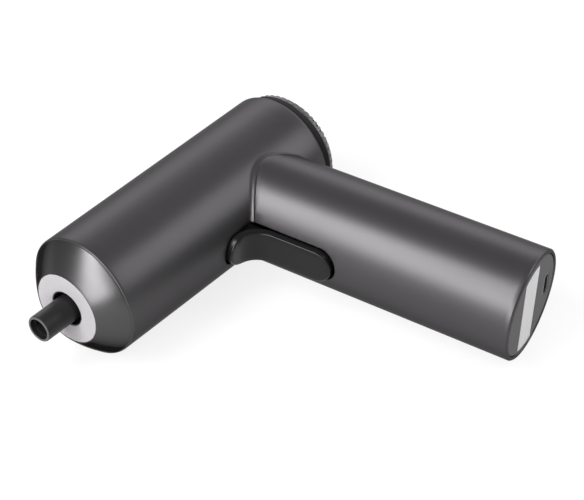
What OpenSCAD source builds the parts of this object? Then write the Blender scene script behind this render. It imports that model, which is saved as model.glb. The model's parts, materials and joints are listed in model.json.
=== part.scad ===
// Cordless electric screwdriver with a round barrel and a round leaning handle.
// It lies on its side: +X runs along the spindle to the bit, +Y down the handle, +Z up.
// The origin is on the spindle axis, in the mouth of the bit socket. Millimetres.

/* [Barrel] */
// Outer diameter of the barrel tube
barrel_d = 44; // [43:0.5:48]
// Wall of the barrel tube
barrel_wall = 2; // [1.6:0.1:2.4]
// Length of the barrel tube from the nose cone to its rear edge
barrel_len = 100.8; // [98:0.2:110]
// Rounding of the barrel's rear edge
rear_round = 1.4; // [0.6:0.1:1.6]
// How far the barrel's front edge is drawn in
front_draw = 0.35; // [0.1:0.05:0.6]
// Length of the drawn-in front edge
front_draw_len = 1; // [0.4:0.1:2]

/* [Nose] */
// Length of the nose cone outside the barrel
nose_len = 7.8; // [7.4:0.1:9]
// Step from the barrel's side in to the foot of the nose cone
nose_step = 0.45; // [0.2:0.05:1]
// Width of the cone's rim round the lit ring
nose_rim = 0.3; // [0.2:0.05:1]
// How far the middle of the cone bulges past a straight line
nose_bulge = 0.5; // [0.1:0.1:1]
// Length of the nose cone's spigot inside the barrel
spigot_len = 6; // [5:0.1:7]
// Wall of the spigot
spigot_wall = 2.3; // [1.5:0.1:2.6]
// Outer diameter of the lit ring
ring_d = 25.8; // [24:0.1:25.9]
// Diameter of the hole in the lit ring
ring_hole_d = 13; // [12:0.1:14]
// Thickness of the lit ring's front
ring_t = 2.4; // [1.6:0.1:2.6]
// Wall of the lit ring's skirt
ring_wall = 1.2; // [0.8:0.1:1.6]
// Thickness of the flange that holds the lit ring
ring_flange_t = 1.6; // [1.2:0.1:2]
// Width of the flange that holds the lit ring
ring_flange_w = 1.6; // [1:0.1:2]
// Distance from the ring's front face to the back of the lamp board
led_depth = 6.6; // [6.2:0.1:7.2]
// Thickness of every circuit board
board_t = 1.2; // [0.8:0.1:1.6]
// Number of lamps behind the ring
led_count = 6; // [3:1:8]
// Side of a lamp
led_side = 3; // [2:0.1:3.4]
// Height of a lamp
led_h = 1.1; // [0.6:0.1:1.4]

/* [Spindle] */
// How far the bit socket stands out of the lit ring
sleeve_out = 13.2; // [10:0.1:18]
// Outer diameter of the bit sleeve
sleeve_d = 9.5; // [9.3:0.1:9.8]
// Chamfer of the sleeve's tip
tip_chamfer = 0.4; // [0.2:0.05:0.7]
// Outer diameter of the spindle in its bearing
spindle_d = 10; // [9.6:0.1:10.4]
// Distance across the flats of a bit
bit_flats = 6.35; // [6:0.05:6.5]
// Clearance across the flats
bit_gap = 0.1; // [0.05:0.01:0.2]
// Depth of the hexagon socket from its mouth
socket_depth = 14; // [12:0.1:16]
// Diameter of the round lead-in at the mouth
lead_d = 7.6; // [7.5:0.05:8]
// Depth of the round lead-in
lead_depth = 2; // [1:0.1:3]
// Diameter of the bit magnet
magnet_d = 6; // [5:0.1:7]
// Length of the bit magnet
magnet_len = 4; // [3:0.1:6]
// Diameter of the stub that carries the output carrier
stub_d = 8; // [7:0.1:8.6]
// Thickness of the retaining clip
clip_t = 0.8; // [0.6:0.1:1]
// Outer diameter of the retaining clip
clip_d = 13; // [12.6:0.1:14]
// Depth of the clip's groove
clip_groove = 0.4; // [0.3:0.05:0.5]
// Width of the clip's mouth
clip_mouth = 5; // [4:0.1:7]

/* [Bearing] */
// Outer diameter of the ball bearing
bearing_d = 19; // [18.6:0.1:20]
// Width of the ball bearing
bearing_w = 5; // [4.6:0.1:6]
// Wall of each bearing race
race_wall = 1.25; // [1.1:0.05:1.35]
// Diameter of a bearing ball
ball_d = 3.1; // [2.9:0.05:3.2]
// Number of balls
ball_count = 9; // [7:1:10]

/* [Gearbox] */
// Gap between the gearbox housing and the barrel
housing_gap = 2; // [1:0.1:2.5]
// Wall of the gearbox housing outside the teeth
housing_wall = 3.75; // [3.4:0.05:4]
// Teeth of each sun gear
sun_teeth = 9; // [9:3:12]
// Teeth of each planet gear
planet_teeth = 18; // [15:3:18]
// Width of the output planets
output_gear_w = 6.5; // [5:0.1:8]
// Width of the input planets
input_gear_w = 5; // [4:0.1:6]
// Backlash of each mesh
backlash = 0.12; // [0.08:0.01:0.2]
// Diameter of the output planet pins
output_pin_d = 3; // [2.4:0.1:3.4]
// Diameter of the input planet pins
input_pin_d = 2.5; // [2:0.1:3]
// Thickness of the output carrier's plate
output_plate_t = 3; // [2:0.1:3.4]
// Thickness of the input carrier's plate
input_plate_t = 2.5; // [2:0.1:4]
// Length of the gearbox screws
gear_screw_len = 11; // [9:0.1:13]
// Diameter of every small screw
screw_d = 1.8; // [1.6:0.1:2]
// Diameter of every small screw's head
head_d = 3.6; // [3.2:0.1:3.8]
// Height of every small screw's head
head_h = 1.2; // [0.8:0.1:1.4]
// Length of the cover's neck in front of the bearing
cover_neck = 5.2; // [4.8:0.1:6]
// Outer diameter of the cover's neck
cover_neck_d = 25; // [24:0.1:27]
// Thickness of the thrust washer
washer_t = 0.5; // [0.3:0.1:0.8]
// Thickness of the motor's mounting plate
motor_plate_t = 2; // [1.5:0.1:3]

/* [Motor] */
// Wall of the cradle round the motor
motor_cradle_wall = 5.95; // [5.6:0.05:6.6]
// Radius of the hollows along the motor cradle
hollow_r = 4.5; // [3:0.1:5]
// Depth of the hollows along the motor cradle
hollow_depth = 2.9; // [2:0.1:3.4]
// Solid length at each end of the motor cradle
cradle_end = 3; // [2:0.1:5]
// Distance of the motor can's rear in front of the handle axis
motor_ahead = 9; // [7:0.1:11]
// Wall of the motor can
can_wall = 0.8; // [0.6:0.1:1.2]
// Thickness of the motor's end bell
bell_t = 3; // [2:0.1:4]
// Diameter of the motor shaft
shaft_d = 2.3; // [2:0.1:2.4]
// Thickness of the field magnets
field_t = 2.2; // [1.6:0.1:2.6]
// Air gap between armature and field magnets
air_gap = 0.75; // [0.4:0.05:1.2]
// Distance of the magnets from each end of the can
field_inset = 3; // [2:0.1:4]
// Half the height of the gap between the two magnets
field_split = 6; // [4:0.1:8]
// Distance of the armature's stack from the front of the can
stack_front = 6; // [5:0.1:8]
// Distance of the armature's stack from the end bell
stack_back = 8; // [7:0.1:9]
// Length of the windings outside the stack
winding_len = 2.5; // [1:0.1:4]
// How far the windings stay inside the stack's edge
winding_inset = 2.6; // [2:0.1:4]
// Radius of the slots along the stack
stack_slot_r = 1.6; // [1:0.1:2]
// Diameter of the commutator
commutator_d = 6.4; // [5:0.1:8]
// Length of the motor's terminals
terminal_len = 5; // [4:0.1:6]
// Width of the motor's terminals
terminal_w = 2.8; // [2.4:0.1:4]
// Thickness of the motor's terminals
terminal_t = 0.8; // [0.5:0.1:1]
// Spacing of the motor's two screws
motor_screw_pitch = 16; // [15:0.1:17]
// Diameter of the bushes in the motor
bush_d = 6; // [5:0.1:7]
// Wall of the bush seats
bush_seat = 0.8; // [0.6:0.1:1.2]
// Length of the bush seat behind the end bell
bush_tail = 1.5; // [1:0.1:2]

/* [Mode knob] */
// Length of the knob along the barrel
knob_len = 5.1; // [4.6:0.1:8]
// Step from the barrel's side in to the knob
knob_step = 2.1; // [1:0.1:3]
// Taper of the knob's side, from its edge in to its rear face
knob_taper = 3.7; // [2:0.1:5]
// Dark gap between the barrel and the knob
knob_gap = 3; // [2.4:0.1:4]
// Step from the barrel's bore in to the neck that shows in the gap
neck_step = 1.6; // [1:0.1:3]
// Number of grip grooves round the knob
groove_count = 48; // [24:1:60]
// Width of a grip groove
groove_w = 1.1; // [0.8:0.05:1.3]
// Width of the knob's straight front edge
knob_edge = 1.53; // [1:0.01:3]
// Wall of the knob's rim
knob_wall = 3; // [2:0.1:4]
// Thickness of the knob's rear wall
knob_back_wall = 2; // [1.4:0.1:3]
// Wall of the knob's hub
hub_wall = 2; // [1.5:0.1:3]
// Depth of the dish in the knob's rear face
dish_depth = 0.4; // [0.2:0.1:0.8]
// Rim left round the dish
dish_rim = 2; // [1:0.1:3]
// Diameter of the knob's stem
stem_d = 8; // [7:0.1:9]
// Diameter of the stem's tail in the selector switch
tail_d = 5; // [4:0.1:5.6]
// Thickness of the rear plate
rear_plate_t = 4.3; // [3.6:0.1:5]
// Height of the selector switch
selector_h = 5.8; // [5:0.1:7]
// Side of the selector switch
selector_side = 12; // [10:0.1:13]
// Distance of the selector's posts from the axis
post_circle = 13; // [11:0.1:14]
// Diameter of the selector's posts
post_d = 4.4; // [4:0.1:5]
// Length of the selector's screws in their posts
post_screw_len = 4; // [3:0.1:5]

/* [Handle] */
// Length of the handle from the spindle axis to its end face
handle_len = 114.2; // [113.4:0.2:122]
// Diameter of the handle at its end
handle_end_d = 39.7; // [39.2:0.1:42]
// Diameter of the handle's cone where it crosses the spindle axis
handle_top_d = 37.7; // [37.4:0.1:39]
// Lean of the handle away from square, in degrees
handle_tilt = 11.7; // [9:0.1:14]
// Distance from the barrel's rear edge to the handle axis
handle_back = 27.2; // [26:0.1:30]
// Wall of the handle tube
handle_wall = 1.9; // [1.6:0.1:2.1]
// Width of the dark seam between handle and barrel
seam_w = 0.3; // [0.1:0.05:0.5]
// Wall of the collar that joins handle and barrel
collar_wall = 1.7; // [1.2:0.1:2]
// How far the collar reaches down the handle from the barrel's side
collar_below = 11; // [8:0.1:12]
// How far the collar starts from the spindle axis
collar_top = 6; // [4:0.1:10]

/* [Trigger] */
// Width of the trigger
trigger_w = 12.4; // [11:0.1:12.8]
// Gap round the trigger
trigger_gap = 0.5; // [0.3:0.05:0.7]
// Gap at the two ends of the trigger
trigger_end_gap = 1; // [0.9:0.05:1.4]
// Thickness of the trigger's skin
trigger_t = 2.4; // [2:0.1:2.6]
// How far the trigger stands out of the barrel
trigger_out_barrel = 1.7; // [1.4:0.1:2.4]
// How far the trigger stands out of the handle
trigger_out_handle = 1.3; // [1.1:0.1:2]
// Radius of the hollow corner of the trigger
trigger_corner_r = 8.3; // [7:0.1:10]
// Reach of the trigger along the barrel from the corner
trigger_front = 10.7; // [9.5:0.1:12]
// Reach of the trigger down the handle from the barrel's side
trigger_below = 27.6; // [25:0.1:29]
// Distance of the rocking pin down the handle from the barrel's side
pin_below = 9; // [8:0.1:10]
// Distance of the rocking pin in front of the handle axis
pin_front = 11; // [10.6:0.1:11.6]
// Diameter of the rocking pin
pin_d = 2; // [1.6:0.1:2.2]
// Distance from the rocking pin to the forward switch
forward_arm = 11; // [10:0.1:12]
// Distance from the rocking pin to the reverse switch
reverse_arm = 6; // [5.4:0.1:6.2]
// Height of a switch without its button
switch_h = 3.2; // [3:0.1:3.4]
// Side of a switch
switch_side = 4.6; // [4:0.1:5]
// Height of a switch's button
button_h = 0.7; // [0.5:0.1:1]
// Diameter of a switch's button
button_d = 2; // [1.6:0.1:3]
// Diameter of the trigger's plungers
plunger_d = 3; // [2:0.1:4]
// Distance of the trigger's ears from its middle
ear_in = 3.2; // [3:0.1:4]
// Thickness of the trigger's ears
ear_t = 2.2; // [1.6:0.1:2.4]
// Rounding of the ears and of the bracket's sides
ear_r = 2.4; // [2:0.1:2.6]
// Gap between the trigger's ears and the bracket
ear_gap = 2; // [1.6:0.1:2.4]
// Thickness of the bracket's sides
bracket_side_t = 1.6; // [1.2:0.1:2]
// Thickness of the bracket's floor
bracket_floor_t = 1.4; // [1:0.1:1.5]
// Distance of the switch board's face in front of the handle axis
switch_front = 7.3; // [7:0.1:7.4]
// Length of the bracket beyond each switch
bracket_over_far = 6; // [4:0.1:7]
// Length of the bracket behind the reverse switch
bracket_over_near = 3; // [2.6:0.1:3.4]
// Length of the bracket's sides
bracket_side_len = 8; // [6:0.1:9]

/* [Battery] */
// Diameter of the battery cell
cell_d = 18.3; // [18:0.1:18.5]
// Distance of the battery cell from the collar
cell_below = 5.6; // [5:0.1:7]
// Diameter of the cell's raised pole
pole_d = 6; // [4:0.1:8]
// Height of the cell's raised pole
pole_h = 1; // [0.6:0.1:1.4]
// Distance of the cell behind the handle axis
cell_back = 6; // [5.6:0.1:6.2]
// Wall of the battery cradle
cradle_wall = 1.3; // [1:0.1:1.4]
// Thickness of a battery contact
contact_t = 0.4; // [0.3:0.05:0.6]
// Diameter of a battery contact
contact_d = 14; // [13:0.1:16]
// Thickness of the cradle's ribs
rib_t = 2; // [1.4:0.1:3]
// Distance of the outer ribs from the cell's ends
rib_inset = 5; // [3:0.1:8]
// Width of the control board
control_w = 23; // [18:0.5:24]
// Height of the control board in front of the handle axis
control_front = 10.3; // [10:0.1:10.6]
// Distance of the control board from the trigger's bracket
control_below = 6.6; // [5:0.1:9]
// Width of the cradle's rails under the control board
rail_w = 1.8; // [1.2:0.1:2.2]
// Height of the parts on the control board
chip_h = 1.6; // [1:0.1:2]
// Width of the parts on the control board
chip_w = 10; // [6:0.1:14]
// Diameter of the round part on the control board
can_d = 7; // [5:0.1:8]
// Height of the round part on the control board
can_h = 3; // [2:0.1:3.4]
// Distance of the motor leads from the middle
wire_side = 6; // [5:0.1:6.2]
// Distance of the motor leads from the spindle axis at the terminals
wire_y = 11.1; // [10:0.1:12]
// Distance of the motor leads behind the terminals
wire_behind = 6; // [3:0.1:7]
// Diameter of the motor leads
wire_d = 1.6; // [1.2:0.1:2]
// Width of the flat cable
cable_w = 8; // [5:0.1:10]
// Thickness of the flat cable
cable_t = 0.6; // [0.4:0.1:0.8]

/* [Base] */
// Thickness of the base cap
cap_t = 2; // [1.6:0.1:2.4]
// Depth of the base cap below the handle's end
cap_sunk = 0.2; // [0.2:0.1:1]
// Chamfer of the handle's end rim
rim_chamfer = 0.5; // [0.2:0.1:0.8]
// Width of the blank plate on the base cap
plate_w = 10.6; // [8:0.1:12]
// Thickness of the blank plate
plate_t = 0.3; // [0.2:0.05:0.4]
// Distance of the plate's middle in front of the handle axis
plate_front = 1.8; // [0:0.1:5]
// Distance of the charge socket behind the handle axis
port_back = 12; // [9:0.1:12]
// Width of the charge socket
port_w = 9; // [8.6:0.1:9.4]
// Height of the charge socket
port_h = 3.2; // [3:0.1:3.4]
// Length of the charge socket
port_len = 5.9; // [5:0.1:6.4]
// Wall of the charge socket
port_wall = 0.35; // [0.25:0.05:0.4]
// Thickness of the charge socket's tongue
tongue_t = 0.7; // [0.5:0.05:0.8]
// Wall of the cap's skirt
skirt_wall = 1.2; // [1:0.1:1.6]
// Rim left round the blank plate
plate_rim = 1.2; // [0.8:0.1:2]

/* [Fits] */
// Radial clearance of a turning fit
run_gap = 0.05; // [0.02:0.01:0.08]
// Clearance of a piece that is fixed in another
fix_gap = 0.1; // [0.02:0.01:0.2]
// Endways clearance between turning pieces
end_gap = 0.5; // [0.3:0.05:0.6]

/* [Hidden] */
$fn = 96;
eps = 0.01;
far = 200;

// Radii
barrel_r = barrel_d / 2;
barrel_in = barrel_r - barrel_wall;
bore_fit = barrel_in - fix_gap;
ring_r = ring_d / 2;
nose_bore = ring_r + fix_gap;
nose_rim_r = ring_r + nose_rim;
nose_base_r = barrel_r - nose_step;
flange_r = ring_r + ring_flange_w;
spigot_in = bore_fit - spigot_wall;
sleeve_r = sleeve_d / 2;
spindle_r = spindle_d / 2;
bearing_r = bearing_d / 2;
ball_circle = (spindle_r + bearing_r) / 2;
housing_r = barrel_in - housing_gap;
motor_r = bore_fit - motor_cradle_wall;
screw_r = screw_d / 2;
pressure = 20;

// Stations along the spindle axis, from the mouth of the socket backwards
face_x = -sleeve_out;
cone_x = face_x - nose_len;
rear_x = cone_x - barrel_len;
handle_x = rear_x + handle_back;
ring_back_x = face_x - ring_t;
board_back_x = face_x - led_depth;
board_front_x = board_back_x + board_t;
lip_back_x = board_front_x + led_h + ring_flange_t + end_gap;
spigot_x = cone_x - spigot_len;
bearing_front_x = board_back_x - cover_neck;
bearing_back_x = bearing_front_x - bearing_w;
bearing_mid_x = bearing_front_x - bearing_w / 2;
clip_front_x = bearing_front_x + fix_gap + clip_t;
journal_x = clip_front_x + clip_t;
boss_t = 2 * end_gap;
output_front_x = bearing_back_x - boss_t;
output_back_x = output_front_x - output_plate_t;
cover_back_x = output_front_x - output_plate_t / 2;
output_gear_x = output_back_x - end_gap - output_gear_w;
input_front_x = output_gear_x - end_gap;
input_back_x = input_front_x - input_plate_t;
input_gear_x = input_back_x - end_gap - input_gear_w;
washer_x = input_gear_x - end_gap - washer_t;
motor_plate_front_x = washer_x - fix_gap;
motor_x = motor_plate_front_x - motor_plate_t;
bell_x = handle_x + motor_ahead;
bell_back_x = bell_x - bell_t;
pin_tail = end_gap / 2;

// Gears, sized to fill the housing
ring_teeth = sun_teeth + 2 * planet_teeth;
ring_root_r = housing_r - housing_wall;
gear_module = ring_root_r / (ring_teeth / 2 + 1.25);
addendum = 5 / 6 * gear_module;
dedendum = 1.25 * gear_module;
ring_tip_r = gear_module * ring_teeth / 2 - addendum;
centre_r = gear_module * (sun_teeth + planet_teeth) / 2;
carrier_r = ring_tip_r - 2 * end_gap;
carrier_room = carrier_r + end_gap;
gear_screw_circle = ring_root_r + housing_wall / 2;
gear_screw_start = 45;
gear_screw_seat_x = spigot_x - head_h - 2 * fix_gap;
gear_screw_back_x = gear_screw_seat_x - gear_screw_len;

// Rear end
neck_r = bore_fit - neck_step;
knob_r = barrel_r - knob_step;
knob_face_r = knob_r - knob_taper;
knob_front_x = rear_x - knob_gap;
knob_back_x = knob_front_x - knob_len;
shoulder_x = knob_front_x - knob_edge;
neck_back_x = knob_front_x + end_gap;
plate_back_x = rear_x + 3 * fix_gap;
plate_front_x = plate_back_x + rear_plate_t;
selector_x = plate_front_x + selector_h;
selector_board_x = selector_x + board_t;

// Handle, in its own directions: forwards, down the handle, up
lean_c = cos(handle_tilt);
lean_s = sin(handle_tilt);
handle_top_r = handle_top_d / 2;
handle_end_r = handle_end_d / 2;
handle_slope = (handle_end_r - handle_top_r) / handle_len;
function handle_r(s) = handle_top_r + handle_slope * s;
function handle_in(s) = handle_r(s) - handle_wall;
collar_r = min(handle_in(barrel_in / 2), handle_in(handle_len)) - fix_gap;
collar_in = collar_r - collar_wall;
collar_reach = barrel_r + collar_below;

// Trigger
trigger_half = trigger_w / 2;
trigger_reach = barrel_r + trigger_below;
trigger_y = barrel_r + trigger_out_barrel;
trigger_u = handle_r(trigger_reach * 0.7) + trigger_out_handle;
corner_x = handle_x + (trigger_u - trigger_y * lean_s) / lean_c;
trigger_tip_x = corner_x + trigger_front;
fillet_y = trigger_y + trigger_corner_r;
fillet_x = handle_x + (trigger_u + trigger_corner_r - fillet_y * lean_s) / lean_c;
pin_down = barrel_r + pin_below;
forward_down = pin_down + forward_arm;
reverse_down = pin_down - reverse_arm;
ear_out = ear_in + ear_t;
bracket_in = ear_out + ear_gap;
bracket_out = bracket_in + bracket_side_t;
collar_slot = bracket_out + fix_gap;
switch_floor_u = switch_front - board_t;
bracket_floor_u = switch_floor_u - bracket_floor_t;
button_top = switch_front + switch_h + button_h;
rock = 3;
forward_gap = forward_arm * sin(rock) + fix_gap;
reverse_gap = reverse_arm * sin(rock) + fix_gap;
bracket_end = forward_down + bracket_over_far;
bracket_start = reverse_down - bracket_over_near;

// Battery and base, down the handle
cap_bottom = handle_len - cap_sunk;
cap_top = cap_bottom - cap_t;
cap_seat_r = handle_in(cap_top) + handle_wall / 4;
port_out = cap_bottom - fix_gap;
charge_front = port_out - port_len;
charge_top = charge_front - board_t;
cell_bottom = charge_top - 2 * cradle_wall;
cell_top = collar_reach + cell_below;
cell_r = cell_d / 2;
cradle_in = cell_r + fix_gap;
cradle_out = cradle_in + cradle_wall;
cradle_top = cell_top - contact_t - cradle_wall;
cradle_bottom = cell_bottom + contact_t + cradle_wall / 2;
rail_out = control_w / 2 - fix_gap;
control_start = bracket_end + control_below;
control_end = cell_bottom - fix_gap * 10;
control_top = control_front + board_t;
chip_pitch = (control_end - control_start) / 7;

// Motor leads, from the terminals down the handle
wire_x = bell_back_x - terminal_len - wire_behind;
wire_front = (wire_x - handle_x) * lean_c + wire_y * lean_s;
wire_start = wire_y * lean_c - (wire_x - handle_x) * lean_s;

// A rod along the spindle axis between two stations
module rod_x(x0, x1, r) {
  translate([min(x0, x1), 0, 0])
    rotate([0, 90, 0])
      cylinder(h = abs(x1 - x0), r = r);
}

// A cone along the spindle axis, with a radius at each station
module cone_x(x0, r0, x1, r1) {
  translate([x0, 0, 0])
    rotate([0, x1 > x0 ? 90 : -90, 0])
      cylinder(h = abs(x1 - x0), r1 = r0, r2 = r1);
}

// A tube along the spindle axis
module tube_x(x0, x1, outer, inner) {
  difference() {
    rod_x(x0, x1, outer);
    rod_x(min(x0, x1) - 1, max(x0, x1) + 1, inner);
  }
}

// Copies spaced evenly round the spindle axis
module round_x(count, start = 0) {
  for (i = [0 : count - 1])
    rotate([start + i * 360 / count, 0, 0])
      children();
}

// Handle directions: x forwards, y down the handle, z up
module on_handle() {
  translate([handle_x, 0, 0])
    rotate([0, 0, handle_tilt])
      children();
}

// A rod down the handle, at a distance in front of its axis
module rod_down(s0, s1, r, front = 0, up = 0) {
  translate([front, s0, up])
    rotate([-90, 0, 0])
      cylinder(h = s1 - s0, r = r);
}

// A rod forwards across the handle
module rod_forward(u0, u1, r, s, up = 0) {
  translate([u0, s, up])
    rotate([0, 90, 0])
      cylinder(h = u1 - u0, r = r);
}

// A block in handle directions, between two corners
module block(low, high) {
  translate(low)
    cube(high - low);
}

// The handle's cone, made thinner by an inset
module handle_cone(inset, s0, s1) {
  translate([0, s0, 0])
    rotate([-90, 0, 0])
      cylinder(h = s1 - s0, r1 = handle_r(s0) - inset, r2 = handle_r(s1) - inset);
}

// Involute of a circle as an angle in degrees
function involute(a) = tan(a) * 180 / PI - a;

// Outline of a gear: points up one flank and down the other, for each tooth
function gear_points(teeth, tip, root, slack) =
  let (
    pitch = gear_module * teeth / 2,
    base = pitch * cos(pressure),
    half = 90 / teeth - slack / (2 * pitch) * 180 / PI + involute(pressure),
    start = max(base, pitch - root),
    top = pitch + tip,
    steps = 4,
    flank = [for (k = [0 : steps])
      let (r = start + (top - start) * k / steps)
      [r, half - involute(acos(min(1, base / r)))]],
    side = pitch - root < base ? concat([[pitch - root, half]], flank) : flank,
    last = len(side) - 1
  )
  [for (i = [0 : teeth - 1])
    for (k = [0 : 2 * last + 1])
      let (
        p = k <= last ? side[k] : side[2 * last + 1 - k],
        a = i * 360 / teeth + (k <= last ? -p[1] : p[1])
      )
      [p[0] * cos(a), p[0] * sin(a)]];

// A spur gear along X from a station forwards
module spur(x0, width, teeth) {
  translate([x0, 0, 0])
    rotate([0, 90, 0])
      linear_extrude(height = width)
        polygon(gear_points(teeth, addendum, dedendum, backlash));
}

// Angle from the axis at which a planet's teeth mesh with sun and ring
function planet_phase(turn) =
  180 + turn + turn * sun_teeth / planet_teeth + 180 / planet_teeth;

// One planet gear at its turn round the axis
module planet(x0, width, turn, pin_r) {
  translate([x0, centre_r * sin(turn), -centre_r * cos(turn)])
    difference() {
      rotate([planet_phase(turn), 0, 0])
        spur(0, width, planet_teeth);
      rod_x(-1, width + 1, pin_r + run_gap);
    }
}

// Pins at the three planet places
module planet_pins(x0, x1, r) {
  for (i = [0 : 2])
    translate([0, centre_r * sin(i * 120), -centre_r * cos(i * 120)])
      rod_x(x0, x1, r);
}

module barrel_shell() {
  color("dimgray")
    difference() {
      union() {
        cone_x(cone_x, barrel_r - front_draw, cone_x - front_draw_len, barrel_r);
        rod_x(rear_x + rear_round, cone_x - front_draw_len, barrel_r);
        rod_x(rear_x, rear_x + rear_round, barrel_r - rear_round);
        translate([rear_x + rear_round, 0, 0])
          rotate([0, 90, 0])
            rotate_extrude()
              translate([barrel_r - rear_round, 0])
                circle(r = rear_round, $fn = 32);
      }
      rod_x(rear_x - 2, cone_x + 2, barrel_in);
      on_handle()
        rod_down(collar_top, 2 * barrel_r, collar_r + fix_gap);
      trigger_opening();
    }
}

module nose_cone() {
  middle_x = (face_x + cone_x) / 2;
  middle_r = (nose_base_r + nose_rim_r) / 2 + nose_bulge;
  color("silver")
    difference() {
      union() {
        cone_x(middle_x, middle_r, face_x, nose_rim_r);
        cone_x(cone_x, nose_base_r, middle_x, middle_r);
        rod_x(spigot_x, cone_x, bore_fit);
      }
      rod_x(face_x - far, face_x + 1, nose_bore);
      rod_x(face_x - far, lip_back_x, flange_r + fix_gap);
      rod_x(face_x - far, board_front_x + eps, spigot_in);
    }
}

module light_ring() {
  color("whitesmoke")
    difference() {
      union() {
        rod_x(ring_back_x, face_x, ring_r);
        rod_x(lip_back_x - ring_flange_t, face_x - ring_t / 2, ring_r);
        rod_x(lip_back_x - ring_flange_t, lip_back_x, flange_r);
      }
      rod_x(face_x - far, face_x + 1, ring_hole_d / 2);
      rod_x(face_x - far, ring_back_x, ring_r - ring_wall);
    }
}

module led_board() {
  color("darkgreen")
    tube_x(board_back_x, board_front_x, spigot_in - fix_gap, ring_hole_d / 2);
}

module led_lamps() {
  reach = (ring_r - ring_wall + ring_hole_d / 2) / 2;
  color("lightyellow")
    round_x(led_count)
      translate([board_front_x, -led_side / 2, reach - led_side / 2])
        cube([led_h, led_side, led_side]);
}

module spindle() {
  socket_r = (bit_flats + bit_gap) / 2 / cos(30);
  color("#303034")
    difference() {
      union() {
        cone_x(-tip_chamfer, sleeve_r, 0, sleeve_r - tip_chamfer);
        rod_x(journal_x, -tip_chamfer, sleeve_r);
        rod_x(bearing_back_x, journal_x, spindle_r);
        rod_x(output_back_x, bearing_back_x, stub_d / 2);
      }
      rod_x(-lead_depth, 1, lead_d / 2);
      translate([-socket_depth, 0, 0])
        rotate([0, 90, 0])
          cylinder(h = socket_depth + 1, r = socket_r, $fn = 6);
      rod_x(-socket_depth - magnet_len, 0, magnet_d / 2 + fix_gap / 4);
      tube_x(clip_front_x - clip_t, clip_front_x, spindle_r + 1, spindle_r - clip_groove);
    }
}

module bit_magnet() {
  color("silver")
    rod_x(-socket_depth - magnet_len, -socket_depth, magnet_d / 2);
}

module spindle_clip() {
  color("gray")
    difference() {
      tube_x(clip_front_x - clip_t, clip_front_x, clip_d / 2, spindle_r - clip_groove + fix_gap / 4);
      block([clip_front_x - 2 * clip_t, -clip_mouth / 2, 0], [clip_front_x + 1, clip_mouth / 2, far]);
    }
}

// Round track that the balls run in
module ball_track() {
  translate([bearing_mid_x, 0, 0])
    rotate([0, 90, 0])
      rotate_extrude()
        translate([ball_circle, 0])
          circle(r = ball_d / 2 + run_gap, $fn = 32);
}

module bearing_outer_race() {
  color("lightsteelblue")
    difference() {
      tube_x(bearing_back_x, bearing_front_x, bearing_r, bearing_r - race_wall);
      ball_track();
    }
}

module bearing_inner_race() {
  color("lightsteelblue")
    difference() {
      tube_x(bearing_back_x, bearing_front_x, spindle_r + race_wall, spindle_r + fix_gap / 4);
      ball_track();
    }
}

module bearing_balls() {
  color("silver")
    round_x(ball_count)
      translate([bearing_mid_x, 0, ball_circle])
        sphere(r = ball_d / 2, $fn = 32);
}

module bearing_cage() {
  low = spindle_r + race_wall + 2 * run_gap;
  high = bearing_r - race_wall - 2 * run_gap;
  color("goldenrod")
    difference() {
      tube_x(bearing_mid_x - 0.4 * bearing_w, bearing_mid_x + 0.4 * bearing_w, high, low);
      round_x(ball_count)
        translate([bearing_mid_x, 0, ball_circle])
          cylinder(h = 2 * race_wall + ball_d, r = ball_d / 2 + run_gap, center = true);
    }
}

module gearbox_cover() {
  color("#3a3d42")
    difference() {
      union() {
        rod_x(spigot_x, board_back_x, cover_neck_d / 2);
        rod_x(cover_back_x, spigot_x, bore_fit);
      }
      rod_x(bearing_front_x - far, board_back_x + 1, clip_d / 2 + end_gap);
      rod_x(bearing_front_x - far, bearing_front_x, bearing_r + fix_gap / 4);
      rod_x(cover_back_x - 1, output_front_x + end_gap, carrier_room);
      gearbox_screw_holes();
    }
}

// Holes for the gearbox screws, with room for their heads in front
module gearbox_screw_holes() {
  round_x(4, gear_screw_start)
    translate([0, 0, gear_screw_circle]) {
      rod_x(gear_screw_back_x - 1, spigot_x + 1, screw_r + fix_gap);
      rod_x(gear_screw_seat_x, spigot_x + 1, head_d / 2 + fix_gap);
    }
}

module gearbox_screws() {
  color("silver")
    round_x(4, gear_screw_start)
      translate([0, 0, gear_screw_circle]) {
        rod_x(gear_screw_back_x, gear_screw_seat_x, screw_r);
        rod_x(gear_screw_seat_x, gear_screw_seat_x + head_h, head_d / 2);
      }
}

module ring_gear_housing() {
  phase = planet_teeth % 2 == 0 ? 180 / ring_teeth : 0;
  color("#d8d4c8")
    difference() {
      rod_x(motor_plate_front_x, cover_back_x, housing_r);
      translate([motor_plate_front_x - 1, 0, 0])
        rotate([phase, 0, 0])
          rotate([0, 90, 0])
            linear_extrude(height = far)
              polygon(gear_points(ring_teeth, dedendum, addendum, -backlash));
      rod_x(output_back_x - end_gap / 2, cover_back_x + 1, max(carrier_room, ring_root_r + fix_gap));
      gearbox_screw_holes();
    }
}

module output_carrier() {
  color("slategray")
    difference() {
      union() {
        rod_x(output_back_x, output_front_x, carrier_r);
        rod_x(output_front_x, bearing_back_x, spindle_r + race_wall / 2);
      }
      rod_x(output_back_x - 1, bearing_back_x + 1, stub_d / 2 + fix_gap / 4);
      planet_pins(output_back_x - 1, output_front_x + 1, output_pin_d / 2 + fix_gap / 4);
    }
}

module output_pins() {
  color("silver")
    planet_pins(output_gear_x - pin_tail, output_front_x, output_pin_d / 2);
}

module output_planet(i) {
  color("burlywood")
    planet(output_gear_x, output_gear_w, i * 120, output_pin_d / 2);
}

module output_planet_1() { output_planet(0); }
module output_planet_2() { output_planet(1); }
module output_planet_3() { output_planet(2); }

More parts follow.
